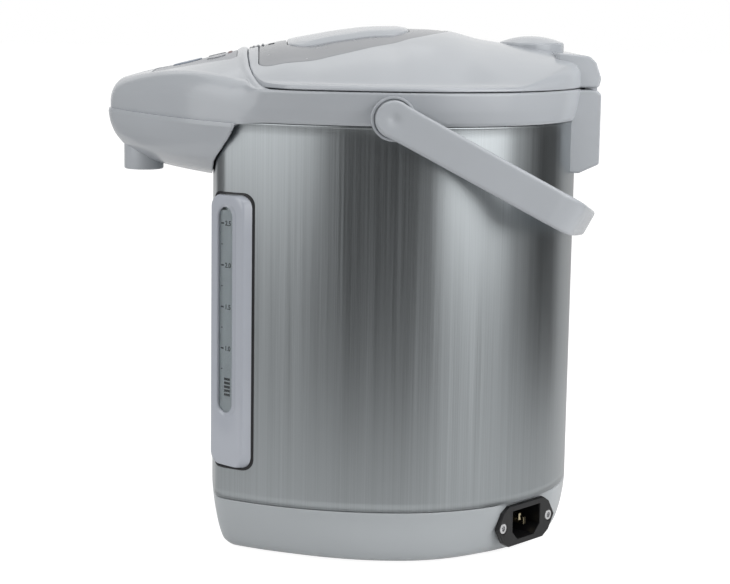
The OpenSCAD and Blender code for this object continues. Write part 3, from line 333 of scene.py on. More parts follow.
# body outline: shallow front, round corner, side arc and half round rear, each an arc whose radius
# is grown by the offset, mirrored in X
def bodyOutline(offset, counts=(10, 16, 20, 54)):
    b = body
    cx, cy = cornerMiddle()
    half = asin(cx / (b["front"] - b["corner"]))
    fy = cy + (b["front"] - b["corner"]) * cos(half)
    right = np.concatenate([
        arc(0, fy, b["front"] + offset, -90, -90 + np.degrees(half), counts[0]),
        arc(cx, cy, b["corner"] + offset, -90 + np.degrees(half), -b["sideTurn"], counts[1]),
        arc(b["rear"] - b["side"], 0, b["side"] + offset, -b["sideTurn"], 0, counts[2]),
        arc(0, 0, b["rear"] + offset, 0, 90, counts[3])])
    rear = np.array([[0, b["rear"] + offset]])
    left = right[:0:-1] * [-1, 1]
    return np.concatenate([right, rear, left])


# flat points and a height, or one height for each, become points in space
def atHeight(points, z):
    return np.column_stack([points, np.broadcast_to(z, len(points))])


# rings of the body outline at given offsets and heights, stacked into one grid
def outlineGrid(profile):
    return np.stack([atHeight(bodyOutline(offset), z) for offset, z in profile])


# weights of a bell curve, exp of minus half the square of place over sigma, that add up to one
def bell(sigma):
    reach = int(sigma * 4) + 1
    weights = np.exp(-0.5 * (np.arange(-reach, reach + 1) / sigma) ** 2)
    return weights / weights.sum(), reach


# a row of numbers, blurred by a bell curve with its ends held
def smoothed(values, sigma):
    weights, reach = bell(sigma)
    return np.convolve(np.pad(values, reach, mode="edge"), weights, mode="valid")


# points spread evenly by length along a path
def evenly(path, count, closed=False):
    if closed:
        path = np.concatenate([path, path[:1]])
    along = np.concatenate([[0], np.cumsum(np.linalg.norm(np.diff(path, axis=0), axis=1))])
    places = np.linspace(0, along[-1], count, endpoint=not closed)
    return np.stack([np.interp(places, along, path[:, k]) for k in range(path.shape[1])], 1)


# half an outline at X above 0, spread evenly, mirrored and blurred by a bell curve all round
def mirroredLoop(half, count, sigma):
    half = evenly(half, count)
    whole = np.concatenate([half, half[::-1] * [-1, 1]])
    weights, reach = bell(sigma)
    padded = np.concatenate([whole[-reach:], whole, whole[:reach]])
    return np.stack([np.convolve(padded[:, k], weights, mode="valid") for k in (0, 1)], 1)


# distance from a centre to a closed outline, at each of the given directions
def reachAt(outline, centre, directions):
    away = outline - centre
    angles = np.arctan2(away[:, 1], away[:, 0])
    order = np.argsort(angles)
    return np.interp(directions, angles[order], np.linalg.norm(away, axis=1)[order], period=2 * pi)


fineCounts = (60, 60, 60, 200)
# height of the middle line of the spout and the lid, from the front to the rear
crestKnots = np.array([[-161, 247.0], [-149, 250.0], [-84, 266.64], [-63, 271.4], [-36, 276.7], [-16, 279.4],
                       [0, 279.7], [20, 279.4], [30, 277.5], [44, 273.4], [58, 271.4], [74, 269.6], [90, 266.8],
                       [107, 265.2], [120, 264.0]])
crestPlaces = np.arange(-200, 160.5, 0.5)
crestHeights = smoothed(np.interp(crestPlaces, crestKnots[:, 0], crestKnots[:, 1]), 7)


# crowned top: the middle line's height, less a share of the square of X that fades in behind the nose
def crowned(x, y):
    across = np.clip((y + 140) / 54, 0, 1)
    return np.interp(y, crestPlaces, crestHeights) - 0.0029 * x * x * across


# 0 below low, 1 above high, and three t squared less two t cubed between them
def smoothStep(value, low, high):
    t = np.clip((value - low) / (high - low), 0, 1)
    return t * t * (3 - 2 * t)


# spout outline from its +X root round the nose: powers of cosine and sine
def noseOutline(count, halfWidth, reach):
    t = np.linspace(0, pi, count)
    c, s = np.cos(t), np.sin(t)
    return np.stack([halfWidth * np.sign(c) * np.abs(c) ** 1.74,
                     -spout["root"] - (reach - spout["root"]) * s ** 1.37], 1)


# widest outline of the collar with the spout: body outline behind, nose in front, blurred where they meet
def shellOutline():
    nose = noseOutline(400, spout["halfWidth"], spout["reach"] + 0.1)[::-1]
    nose = nose[(nose[:, 0] >= 0) & (nose[:, 0] < spout["halfWidth"] - 4)]
    side = bodyOutline(4, fineCounts)
    side = side[(side[:, 1] > -spout["root"] - 4) & (side[:, 0] > 0)]
    return mirroredLoop(np.concatenate([nose[np.argsort(nose[:, 0])], side[np.argsort(side[:, 1])]]), 700, 7)


# collar and lid are worked out on a fan: directions from one point, and how far each row reaches in them
fanCentre = np.array([0.0, -25.0])
fanAngles = np.linspace(-pi, pi, 480, endpoint=False)
fan = np.stack([np.cos(fanAngles), np.sin(fanAngles)], 1)
shellReach = reachAt(shellOutline(), fanCentre, fanAngles)


lidEdge = {"offset": 3.9, "bowEnd": -62,
           "bow": [[0, -82.9], [35, -82.5], [54, -81.4], [66, -79.5], [74, -76.9], [80, -73.4], [84.6, -69.0]]}


# lid outline: body outline behind, and in front a bow that curls back towards the sides
def lidOutline(e):
    plain = bodyOutline(e["offset"], fineCounts)
    kept = plain[(plain[:, 1] > e["bowEnd"]) & (plain[:, 0] >= 0)]
    return mirroredLoop(np.concatenate([e["bow"], kept[np.argsort(kept[:, 1])]]), 700, 3)


lidReach = reachAt(lidOutline(lidEdge), fanCentre, fanAngles)


# fan centre plus each direction times its reach
def fanPoints(reach):
    return fanCentre + fan * np.asarray(reach)[..., None]


print("steel body")
steelBody = {"wall": 0.8, "slotLeft": -8.6, "slotRight": 12.8, "slotLow": 49.5, "slotHigh": 184.5, "bead": 0.3}


# the gauge's own axes: its middle on the body's corner, straight out of it, and along its face
def gaugeAxes():
    away = radians(body["gaugeTurn"])
    outwards = np.array([cos(away), -sin(away)])
    alongFace = np.array([sin(away), cos(away)])
    return cornerMiddle() + outwards * body["corner"] + alongFace * body["gaugeShift"], outwards, alongFace


gaugeCentre, gaugeOut, gaugeAlong = gaugeAxes()


# the body outline carried upwards, its offset a half sine for the rolled bead under the collar, with
# the quads behind the gauge's slot left out
def makeSteelBody(s):
    low, high = heights["base"] + 0.3, heights["collar"] - 0.2
    levels = np.unique(np.concatenate([np.linspace(low, high - 1.6, 44), [s["slotLow"], s["slotHigh"]],
                                       high - np.array([1.2, 0.8, 0.4, 0])]))
    bead = np.where(levels > high - 1.3, s["bead"] * np.sin(np.clip((levels - high + 1.4) / 1.4, 0, 1) * pi), 0)
    grid = outlineGrid(zip(bead - 0.02, levels))

    def keep(middles):
        away = middles[:, :2] - gaugeCentre
        across = away @ gaugeAlong
        inSlot = (across > s["slotLeft"]) & (across < s["slotRight"]) & (away @ gaugeOut > -12)
        return ~(inSlot & (middles[:, 2] > s["slotLow"]) & (middles[:, 2] < s["slotHigh"]))
    piece = makePiece("steelBody", gridMesh("steelBody", grid, keep=keep), "steel", "pot",
                      ("steel_wrap",))
    thicken(piece, s["wall"])


makeSteelBody(steelBody)

print("base")
base = {"wall": 2.2, "flat": 96.5, "inletHeight": 15.9, "inletHalf": 14.4, "inletRise": 9.9, "coverRadius": 60.4,
        "sideFill": 5.0, "fillHeight": 22,
        "profile": [(-26, 1.2), (-10.2, 1.2), (-8.9, 1.35), (-7.9, 1.9), (-6.6, 2.9), (-5.1, 4.4), (-4.3, 6.0),
                    (-3.45, 8.4), (-2.5, 11.6), (-1.75, 14.8), (-1.1, 18.4), (-0.55, 22.2), (-0.2, 25.8),
                    (-0.05, 27.6), (-0.05, 28.4), (-0.4, 28.8), (-1.6, 28.9), (-1.7, 32.5)]}


# the body outline at each (offset, height) of the profile, from the ring round the bottom cover up to
# the lip inside the steel
def makeBase(b):
    grid = outlineGrid(b["profile"])
    # the bottom edge draws in less at the sides than in front and behind
    sideways = smoothStep(np.abs(grid[..., 0]), 78, 100)
    away = np.maximum(0, 1 - grid[..., 2] / b["fillHeight"]) * sideways * b["sideFill"]
    grid[1:, :, 0] += (away * np.sign(grid[..., 0]))[1:]
    inner = grid[1, :, :2].copy()
    grid[0, :, :2] = inner / np.linalg.norm(inner, axis=1)[:, None] * b["coverRadius"]
    # the rear corner is flat where the power inlet sits
    out = np.array([1, 1]) / sqrt(2)
    ahead = grid[..., :2] @ out
    over = np.maximum(0, ahead - (b["flat"] - 0.02))
    grid[..., :2] -= over[..., None] * out

    def keep(middles):
        across = middles[:, :2] @ np.array([-1, 1]) / sqrt(2)
        near = (middles[:, :2] @ out > 80) & (np.abs(across) < b["inletHalf"])
        return ~(near & (np.abs(middles[:, 2] - b["inletHeight"]) < b["inletRise"]))
    piece = makePiece("baseShell", gridMesh("baseShell", grid, keep=keep), "base", "pot",
                      ("base_shell",))
    thicken(piece, b["wall"])


makeBase(base)

print("collar and spout")
collar = {"wall": 2.0, "shoulder": 11.0, "rise": 14.0, "vesselOpening": 83.1, "ledge": 84.4,
          "ribPlace": 2.2, "ribWidth": 2.0, "ribHeight": 0.9}


# wall and shoulder of the collar: behind, a flared ring; in front, a wall that turns over in a quarter ellipse
def collarWall(c, steps=26):
    t = np.linspace(0, 1, steps)[:, None]
    outer = fanPoints(shellReach)
    spoutShare = smoothStep(-outer[:, 1], 74, 93)
    gapReach = np.minimum(lidReach + 0.7, shellReach - 1.7)
    room = shellReach - gapReach
    knots = np.array([0, 0.14, 0.45, 0.75, 0.9, 1])
    rearIn = np.interp(t[:, 0], knots, [3.6, 2.7, 1.3, 0.3, 0, 0.7])[:, None]
    rearUp = np.interp(t[:, 0], knots, [231, 232.4, 238.7, 245.3, 247.4, heights["seam"]])[:, None]
    width = np.minimum(c["shoulder"], 0.8 * room)
    end = fanPoints(shellReach - width)
    top = crowned(end[:, 0], end[:, 1])
    seam = 229.7 + 3.0 * np.clip((-outer[:, 1] - spout["root"]) / 71.6, 0, 1)
    rise = np.minimum(c["rise"], top - seam - 0.6)
    quarter = np.clip((t - 0.25) / 0.75, 0, 1) * pi / 2
    frontIn = width * (1 - np.cos(quarter))
    frontUp = np.where(t < 0.25, seam + (top - rise - seam) * t / 0.25, top - rise * (1 - np.sin(quarter)))
    inwards = rearIn * (1 - spoutShare) + frontIn * spoutShare
    up = rearUp * (1 - spoutShare) + frontUp * spoutShare
    return inwards, up, gapReach


# reach to a circle round the vessel's axis: the far root of the square equation in each direction
def circleReach(radius):
    along = fan @ fanCentre
    return -along + np.sqrt(along ** 2 - fanCentre @ fanCentre + radius ** 2)


# rows of the fan from the lower lip up the wall, over the top to the gap round the lid, and down to the
# vessel's opening; on the spout's top they follow the crown, with a bell-shaped rib along the edge
def makeCollar(c):
    inwards, up, gapReach = collarWall(c)
    outer = shellReach - inwards
    rows = [atHeight(fanPoints(outer[0] - inside), up[0] + z) for inside, z in ((4, 1.2), (3.4, 0.05))]
    rows += [atHeight(fanPoints(reach), z) for reach, z in zip(outer, up)]
    startReach, startUp = outer[-1], up[-1]
    edge = fanPoints(gapReach)
    raised = smoothStep(-edge[:, 1], 68, 81)

    def topHeight(points):
        return heights["seam"] * (1 - raised) + crowned(points[:, 0], points[:, 1]) * raised

    def rib(beyond):
        return np.exp(-((beyond - c["ribPlace"]) / c["ribWidth"]) ** 2) * c["ribHeight"] * raised
    misfit = startUp - topHeight(fanPoints(startReach))
    for share in np.linspace(0, 1, 26)[1:]:
        reach = startReach + (gapReach - startReach) * share
        place = fanPoints(reach)
        z = topHeight(place) + misfit * (1 - smoothStep(share, 0, 0.3))
        rows.append(atHeight(place, z + rib(reach - gapReach)))
    low = heights["seam"]
    for step, drop in ((0.25, 0.15), (0.5, 0.55), (0.6, 1.2)):
        rows.append(atHeight(fanPoints(gapReach - step),
                             np.maximum(low - 0.02 * step, topHeight(edge) + rib(0) - drop)))
    opening = np.minimum(circleReach(c["vesselOpening"]), gapReach - 1.0)
    ledge = np.minimum(circleReach(c["ledge"]), gapReach - 0.9)
    for reach, z in ((gapReach - 0.7, low - 0.05), (ledge, low - 0.1), (opening, low - 0.9),
                     (opening, heights["rim"])):
        rows.append(atHeight(fanPoints(reach), z))
    piece = makePiece("collarShell", gridMesh("collarShell", np.stack(rows)), "shell", "pot",
                      ("collar",))
    thicken(piece, c["wall"])
    return piece


collarPiece = makeCollar(collar)

# from the lowest row to the seam: shares of the outline's width and reach, heights at root and tip;
# edge gives where the rear edge lies at a height, in a long S that leans forward as it goes down
spoutUnder = {"wall": 1.8, "rows": 44, "columns": 150, "length": 71.6, "lipDepth": 2.2,
              "width": [0.02, 0.44, 0.74, 0.915, 0.962, 0.985, 1.0],
              "reach": [0.20, 0.56, 0.72, 0.87, 0.945, 0.98, 0.994],
              "root": [198.8, 199.6, 203.6, 211.0, 219.2, 225.2, 229.5],
              "tip": [203.5, 206.4, 208.3, 213.7, 219.7, 225.7, 232.4],
              "edgeHeight": [204, 209, 214.3, 220, 226.6, 231],
              "edge": [-99.5, -98.5, -96.6, -93, -89.5, -88]}


# lower spout shell: the collar's front outline, narrowed and shortened row by row, cut off where it
# meets the steel
def makeSpoutUnder(s):
    whole = fanPoints(shellReach)
    front = whole[whole[:, 1] < -spout["root"]]
    front = evenly(front[np.argsort(-np.arctan2(front[:, 0], -front[:, 1]))], 400)
    knots = np.linspace(0, 1, len(s["width"]))
    fine = np.linspace(0, 1, 240)
    t = np.linspace(0, 1, s["rows"])
    widths, reaches, roots, tips = [np.interp(t, fine, smoothed(np.interp(fine, knots, s[key]), 9))
                                    for key in ("width", "reach", "root", "tip")]
    edges = np.interp(roots, s["edgeHeight"], s["edge"])
    turns = np.linspace(-pi, pi, 720, endpoint=False)
    steel = reachAt(bodyOutline(0.45, fineCounts), np.zeros(2), turns)
    rows = []
    for width, reach, root, tip, edge in zip(widths, reaches, roots, tips, edges):
        x = front[:, 0] * width
        y = -spout["root"] + (front[:, 1] + spout["root"]) * reach
        z = root + (tip - root) * np.clip((-y - spout["root"]) / s["length"], 0, 1)
        outside = np.hypot(x, y) - np.interp(np.arctan2(y, x), turns, steel, period=2 * pi)
        visible = np.flatnonzero((outside > 0) & (y < edge))
        rows.append(evenly(np.stack([x, y, z], 1)[visible[0]:visible[-1] + 1], s["columns"]))
    rows.append(rows[-1] * [0.97, 1, 1] + [0, s["lipDepth"], 0])
    piece = makePiece("spoutUnder", gridMesh("spoutUnder", np.stack(rows), wrap=False), "shell", "pot",
                      ("spout_cover",))
    thicken(piece, s["wall"])


makeSpoutUnder(spoutUnder)


# turned piece: a profile of (radius, height) carried round an axis through a point, u and v span the circle
def turned(profile, centre, axis, u, v, count=96):
    a = np.linspace(0, 2 * pi, count, endpoint=False)
    circle = np.cos(a)[:, None] * np.array(u, float) + np.sin(a)[:, None] * np.array(v, float)
    profile = np.array(profile, float)
    return (np.array(centre, float) + profile[:, 0, None, None] * circle[None]
            + profile[:, 1, None, None] * np.array(axis, float))


upright = {"axis": (0, 0, 1), "u": (1, 0, 0), "v": (0, 1, 0)}
nozzle = {"place": (0, -140.2, 199.3), "radius": 10.9, "bore": 5.0}


# a turned tube with a rounded lip and a bore that widens downwards
def makeNozzle(n):
    r, b = n["radius"], n["bore"]
    profile = [(b, 5.2), (b + 0.2, 4.4), (r - 2.4, 0.5), (r - 2.0, 0.05), (r - 0.8, 0), (r - 0.3, 0.15),
               (r - 0.05, 0.6), (r, 1.2), (r, 12), (r, 22), (r - 0.6, 25.2), (b, 25.2), (b, 15)]
    makePiece("nozzleTip", gridMesh("nozzleTip", turned(profile, n["place"], **upright), closed=True, turn=True),
              "shell", "pot", ("nozzle",), sharp=30)


makeNozzle(nozzle)

boss = {"place": (-8.4, 235.2), "radius": 11.5, "well": 7.0, "back": 97.0}


# several meshes become one, their corner numbers shifted by the points before them
def joinMeshes(name, meshes):
    points, faces, start = [], [], 0
    for mesh in meshes:
        co = np.zeros(len(mesh.vertices) * 3)
        mesh.vertices.foreach_get("co", co)
        points.append(co.reshape(-1, 3))
        faces += [[start + i for i in face.vertices] for face in mesh.polygons]
        start += len(mesh.vertices)
        bpy.data.meshes.remove(mesh)
    joined = bpy.data.meshes.new(name)
    joined.from_pydata(np.concatenate(points).tolist(), [], faces)
    return joined


# one turned ring at each side, a rounded rim round a flat well for the handle's pivot
def makeBosses(b):
    r = b["radius"]
    profile = [(b["well"], 6.0), (b["well"] + 0.2, 7.6), (r - 1.7, 7.8), (r - 1.3, 8.9), (r - 0.7, 9.0),
               (r - 0.2, 8.8), (r, 8.3), (r + 0.02, 4), (r, 0), (b["well"], 0)]
    sides = []
    for side in (1, -1):
        grid = turned(profile, (side * b["back"], *b["place"]), (side, 0, 0), (0, side, 0), (0, 0, 1))
        sides.append(gridMesh("ring", grid, closed=True, turn=True))
    makePiece("bossRings", joinMeshes("bossRings", sides), "shell", "pot", sharp=40)


makeBosses(boss)


# prism: an outline in the YZ plane carried from one X to the other, both ends capped
def prism(outline, x0, x1):
    outline = np.array(outline, float)
    return np.stack([np.column_stack([np.full(len(outline), x), outline]) for x in (x0, x1)])


# takes closed meshes out of a piece, its modifiers made real first
def cutAway(piece, cutters):
    for cutter in cutters:
        holder = bpy.data.objects.new("cutter", cutter)
        scene.collection.objects.link(holder)
        step = piece.modifiers.new("cut", "BOOLEAN")
        step.operation = "DIFFERENCE"
        step.solver = "EXACT"
        step.object = holder
        bpy.context.view_layer.update()
        result = bpy.data.meshes.new_from_object(piece.evaluated_get(bpy.context.evaluated_depsgraph_get()))
        piece.modifiers.clear()
        piece.data = result
        bpy.data.objects.remove(holder)


hinge = {"halfWidth": 37, "knuckle": 24, "y": 105.5, "z": 240.0, "back": 3.4, "bevel": 1.3, "front": 84,
         "pinWall": 3.2, "gap": 0.8}


# prisms along X: ears with a slot between them on the collar, a block on the lid, and under it a
# knuckle whose lower end is a half circle round the pin
def makeHinge(h):
    y, z, back = h["y"], h["z"], h["back"]
    outline = [(h["front"], 202.4), (97.9, 202.4), (y + back, 207.4), (y + back, 245.3), (y + back - 2.5, 247.7),
               (h["front"], 247.7)]
    mesh = gridMesh("hingeEars", prism(outline, -h["halfWidth"], h["halfWidth"]), capStart=True, capEnd=True)
    ears = makePiece("hingeEars", mesh, "shell", "pot", sharp=None)
    slot = gridMesh("slot", prism([(y - 5.2, z - 5.4), (y + 30, z - 5.4), (y + 30, z + 30), (y - 5.2, z + 30)],
                                  -h["knuckle"] - h["gap"], h["knuckle"] + h["gap"]), capStart=True, capEnd=True)
    cutAway(ears, [slot])
    roundEdges(ears, h["bevel"], 3)
    block = [(h["front"], 249.0), (y + 1.8, 248.9), (y + back - 0.2, 253.6), (y + 0.2, 262.2), (y - 3.4, 265.8),
             (h["front"], 267.4)]
    lidBlock = gridMesh("lidBlock", prism(block, -h["halfWidth"], h["halfWidth"]), capStart=True, capEnd=True)
    top = makePiece("lidHingeBlock", lidBlock, "shell", "lid", sharp=None)
    roundEdges(top, h["bevel"], 3)
    w = h["pinWall"]
    lower = [(y + w * np.cos(t), z + w * np.sin(t)) for t in np.radians(np.linspace(180, 360, 25))]
    outline = [(y - 3.9, z + 10.5), (y - w, z)] + lower[1:] + [(y + w, z + 10.5)]
    knuckle = gridMesh("lidKnuckle", prism(outline, -h["knuckle"], h["knuckle"]), capStart=True, capEnd=True)
    made = makePiece("lidKnuckle", knuckle, "shell", "lid", sharp=40)
    roundEdges(made, 0.4, 2)


makeHinge(hinge)

print("lid")
insetShape = {"halfWidth": 60, "length": 103, "front": 75.5, "corner": 7}


# lid inset outline: half an ellipse whose straight front has round corners
def insetOutline(i):
    r = i["corner"] + 1
    t = np.radians(np.linspace(0, 90, 200))
    curve = np.stack([i["halfWidth"] * np.cos(t), -i["front"] + 9 + (i["length"] - 9) * np.sin(t)], 1)
    corner = arc(i["halfWidth"] - r, r - 1 - i["front"], r, -90, 0, 30)
    straight = np.column_stack([np.linspace(0, i["halfWidth"] - r - 1, 40), np.full(40, -i["front"] - 1.0)])
    return mirroredLoop(np.concatenate([straight, corner, curve]), 600, 3)


# outline round several circles: in each direction the farthest circle gives the point
def roundOutline(circles, count=720):
    a = np.linspace(-pi, pi, count, endpoint=False)
    normal = np.stack([np.cos(a), np.sin(a)], 1)
    circles = np.array(circles, float)
    far = (normal @ circles[:, :2].T + circles[:, 2]).argmax(1)
    return circles[far, :2] + circles[far, 2, None] * normal


padCircles = [(s * 21, -49, 12) for s in (-1, 1)] + [(s * 15, -9, 14) for s in (-1, 1)]
insetReach = reachAt(insetOutline(insetShape), fanCentre, fanAngles)
padReach = reachAt(evenly(roundOutline(padCircles), 1400, closed=True), fanCentre, fanAngles)


# the crowned top, sunk a little round the press pad; low sides flatten out above the seam, by half of
# the sum and the softened difference of both heights
def lidHeight(x, y):
    sunk = smoothStep(y, -66, -44) * (2.0 - 1.1 * smoothStep(y, -6, 6) - 0.9 * smoothStep(y, 18, 34))
    high = crowned(x, y) - sunk * (1 - 0.5 * smoothStep(np.abs(x), 60, 90))
    low = heights["lidSide"]
    return 0.5 * (high + low + np.sqrt((high - low) ** 2 + 0.6))


# rows at given reaches, each lying a given dip under the lid's surface
def raisedRows(reaches, dips):
    places = [fanPoints(reach) for reach in reaches]
    return [atHeight(place, lidHeight(*place.T) - dip) for place, dip in zip(places, dips)]


lidShape = {"wall": 1.6, "edge": 2.4, "rearEdge": 5.0, "seatDepth": 1.9, "seatGap": 0.45, "wellGap": 0.9,
            "wellDepth": 13.0, "latchHalf": 13.4, "latchFront": -81.4, "latchBack": -68.2, "latchLow": 264.4,
            "latchHigh": 276.0}


# rows of the fan: a quarter ellipse up from the seam, the lid's surface to the inset's seat, a step
# down, and a well round the press pad
def makeLid(s):
    outer = fanPoints(lidReach)
    edge = s["edge"] + s["rearEdge"] * smoothStep(outer[:, 1], 40, 100)
    bottom = heights["lid"]
    top = lidHeight(*fanPoints(lidReach - edge).T)
    rows = [atHeight(fanPoints(lidReach - 2.6), bottom + 0.3), atHeight(fanPoints(lidReach - 0.5), bottom),
            atHeight(outer, bottom + 0.35)]
    rise = np.minimum(edge * 1.15, top - bottom - 0.5)
    for a in np.radians(np.linspace(0, 90, 12)):
        place = fanPoints(lidReach - edge * (1 - cos(a)))
        rows.append(atHeight(place, np.minimum((top - rise) + rise * sin(a), lidHeight(*place.T))))
    seat, start = insetReach + s["seatGap"], lidReach - edge
    for share in np.linspace(0, 1, 24)[1:]:
        rows += raisedRows([start + (seat + 0.5 - start) * share], [0])
    depth, well = s["seatDepth"], padReach + s["wellGap"]
    rows += raisedRows([seat + 0.15, seat, seat], [0.06, 0.4, depth])
    rows += raisedRows([seat + (well - seat) * k for k in (0.1, 0.5, 0.9)], [depth] * 3)
    rows += raisedRows([well, well, well, well], [depth, depth + 0.5, 8, s["wellDepth"]])
    piece = makePiece("lidShell", gridMesh("lidShell", np.stack(rows)), "shell", "lid", ("lid_shell",))
    thicken(piece, s["wall"])
    return piece


# room for the latch and its travel
def latchRoom(s):
    x, y0, y1 = s["latchHalf"], s["latchFront"], s["latchBack"]
    ring = np.array([[-x, y0], [x, y0], [x, y1], [-x, y1]])
    grid = np.stack([atHeight(ring, z) for z in (s["latchLow"], s["latchHigh"])])
    return gridMesh("latchRoom", grid, capStart=True, capEnd=True)


lidPiece = makeLid(lidShape)
cutAway(lidPiece, [latchRoom(lidShape)])

inset = {"depth": 1.5, "dip": 0.35, "padGap": 0.6, "round": 0.8}


# a closed ring of rows between the inset's outline and the hole for the pad, a little under the lid
def makeInset(s):
    outer, hole, dip, low = insetReach, padReach + s["padGap"], s["dip"], s["dip"] + s["depth"]
    reaches = [outer - 0.3, outer, outer, outer - 0.25, outer - s["round"]]
    dips = [low, low - 0.2, dip + 0.35, dip + 0.06, dip]
    for share in np.linspace(0, 1, 20)[1:-1]:
        reaches.append(outer - s["round"] + (hole + 0.6 - outer + s["round"]) * share)
        dips.append(dip)
    reaches += [hole + 0.6, hole + 0.15, hole, hole]
    dips += [dip, dip + 0.06, dip + 0.35, low]
    grid = np.stack(raisedRows(reaches, dips))
    piece = makePiece("lidInsetPlate", gridMesh("lidInsetPlate", grid, closed=True), "inset", "lid",
                      ("lid_inset",))
    cutAway(piece, [latchRoom(lidShape)])


makeInset(inset)

pad = {"rise": 0.1, "slope": 6.0, "skirt": 8.0, "wall": 1.6}


# press pad: rises from the sunk lid by a rounded slope to the crowned line of the top
def makePad(s):
    def padRow(reach, dip, share):
        place = fanPoints(reach)
        low = lidHeight(*place.T) - dip
        high = crowned(*place.T) + s["rise"]
        return atHeight(place, low * (1 - share) + np.maximum(high, low) * share)

    rows = raisedRows([padReach - 1.6, padReach - 0.3, padReach], [s["skirt"], s["skirt"], s["skirt"] - 0.4])
    for inwards in np.concatenate([np.linspace(0, 1, 14), [1.3, 1.8, 2.4]]) * s["slope"]:
        share = smoothStep(inwards, -1.5, s["slope"])
        rows.append(padRow(padReach - inwards, 0.7 * np.exp(-inwards / 0.5) - 0.3, share))
    rows += [padRow(padReach * k, 0, 1.0) for k in (0.4, 0.2, 0.04)]
    piece = makePiece("pressPad", gridMesh("pressPad", np.stack(rows), capEnd=True), "shell", "pad",
                      ("press_pad",), sharp=None)
    thicken(piece, s["wall"])


makePad(pad)

print("control panel")
panel = {"rear": (30, -92.5, 4), "tip": (22, -128.5, 6), "middle": (0, -110), "pocket": 1.25, "top": -0.2,
         "gap": 0.25, "keys": {"dispense": (0, -116, 8.0, "blue", "button_blue"),
                               "reboil": (-15, -100, 4.96, "key", "light_grey"),
                               "lock": (15, -100, 4.96, "key", "light_grey")}, "lights": (-8, 0, 8), "lightY": -92.5}


# rings of the panel's outline shrunk towards its middle, each at a height over the crowned top
def panelRings(p, grow, rings):
    circles = [(side * x, y, r + grow) for x, y, r in (p["rear"], p["tip"]) for side in (-1, 1)]
    outline = evenly(roundOutline(circles), 240, closed=True)
    made = []
    for share, up in rings:
        place = np.array(p["middle"]) + (outline - p["middle"]) * share
        made.append(atHeight(place, crowned(*place.T) + up))
    return np.stack(made)


# turned piece whose points are raised by the crowned top under each of them
def leaning(profile, x, y, count=64):
    grid = turned(profile, (x, y, 0), **upright, count=count)
    grid[..., 2] += crowned(grid[..., 0], grid[..., 1])
    return grid


# pocket and plate share one outline, rings that follow the crowned top and end in a rounded rim; keys
# and lights are turned pieces that lean with it
def makePanel(p):
    shares = np.linspace(0.08, 1, 9)
    pocket = panelRings(p, p["gap"], [(k, -p["pocket"]) for k in shares] + [(k, 6.0) for k in shares[::-1]])
    cutAway(collarPiece, [gridMesh("pocket", pocket, capStart=True, capEnd=True)])
    top = p["top"]
    rings = [(k, top - 0.98) for k in shares] + [(1, top - 0.25), (0.998, top - 0.1), (0.993, top - 0.02)]
    rings += [(k, top) for k in np.linspace(0.985, 0.08, 12)]
    plate = makePiece("panelPlate", gridMesh("panelPlate", panelRings(p, 0, rings), capStart=True, capEnd=True),
                      "panel", "pot", ("control_panel",))
    holes = [gridMesh("hole", leaning([(r + p["gap"], -3), (r + p["gap"], 3)], x, y), capStart=True, capEnd=True)
             for x, y, r, *_ in p["keys"].values()]
    cutAway(plate, holes)
    for key, (x, y, r, finish, slotName) in p["keys"].items():
        profile = [(1.5, -6), (1.5, -0.4), (r - 0.4, -0.4), (r, -0.1), (r, 0.1), (r - 0.15, 0.35), (r - 0.5, 0.5),
                   (r - 1.2, 0.5), (r * 0.6, 0.4), (r * 0.2, 0.35)]
        makePiece(key + "Key", gridMesh(key + "Key", leaning(profile, x, y), capStart=True, capEnd=True), finish, key,
                  (key + "_button",), sharp=50)
    profile = [(1.2, -1.6), (1.2, 0), (1.05, 0.18), (0.7, 0.3), (0.2, 0.34)]
    lights = [gridMesh("light", leaning(profile, x, p["lightY"], 24), capStart=True, capEnd=True)
              for x in p["lights"]]
    makePiece("panelLights", joinMeshes("panelLights", lights), "red", "pot", ("indicator_lens",),
              sharp=60)


makePanel(panel)

print("pump under the pad")
bellows = {"y": -28, "low": 248.8, "high": 267.7, "radius": 21.7, "fold": 2.2, "folds": 4, "wall": 1.3,
           "travel": 10.0}
spring = {"radius": 11.95, "wire": 0.75, "low": 248.93, "high": 266.27, "turns": 6}


# a soft piece under the pad gets a mesh of its own
def pressedByPad(piece):
    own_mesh(piece)


# a turned wall whose radius swings as a cosine of the height
def makeBellows(b):
    rise = np.linspace(0, 1, 81)
    radius = b["radius"] + b["fold"] * np.cos(2 * pi * b["folds"] * rise)
    outer = np.stack([radius, b["low"] + (b["high"] - b["low"]) * rise], 1)
    profile = np.concatenate([outer, (outer - [b["wall"], 0])[::-1]])
    grid = turned(profile, (0, b["y"], 0), **upright)
    piece = makePiece("pumpBellows", gridMesh("pumpBellows", grid, closed=True), "rubber", "lid",
                      ("pump_bellows",), sharp=50)
    pressedByPad(piece)


# a circle carried along a rising helix
def makeSpring(s):
    low, high = s["low"] + s["wire"], s["high"] - s["wire"]
    rise = np.linspace(0, 1, s["turns"] * 40)
    a = 2 * pi * s["turns"] * rise
    path = np.stack([s["radius"] * np.cos(a), bellows["y"] + s["radius"] * np.sin(a), low + (high - low) * rise], 1)
    normal = np.stack([np.cos(a), np.sin(a), np.zeros(len(a))], 1)
    along = np.gradient(path, axis=0)
    along /= np.linalg.norm(along, axis=1)[:, None]
    phi = np.linspace(0, 2 * pi, 12, endpoint=False)[:, None]
    ring = normal[:, None] * np.cos(phi) + np.cross(along, normal)[:, None] * np.sin(phi)
    mesh = gridMesh("padSpring", path[:, None] + s["wire"] * ring, capStart=True, capEnd=True)
    piece = makePiece("padSpring", mesh, "bright", "lid", ("pad_spring",), sharp=50)
    pressedByPad(piece)


makeBellows(bellows)
makeSpring(spring)

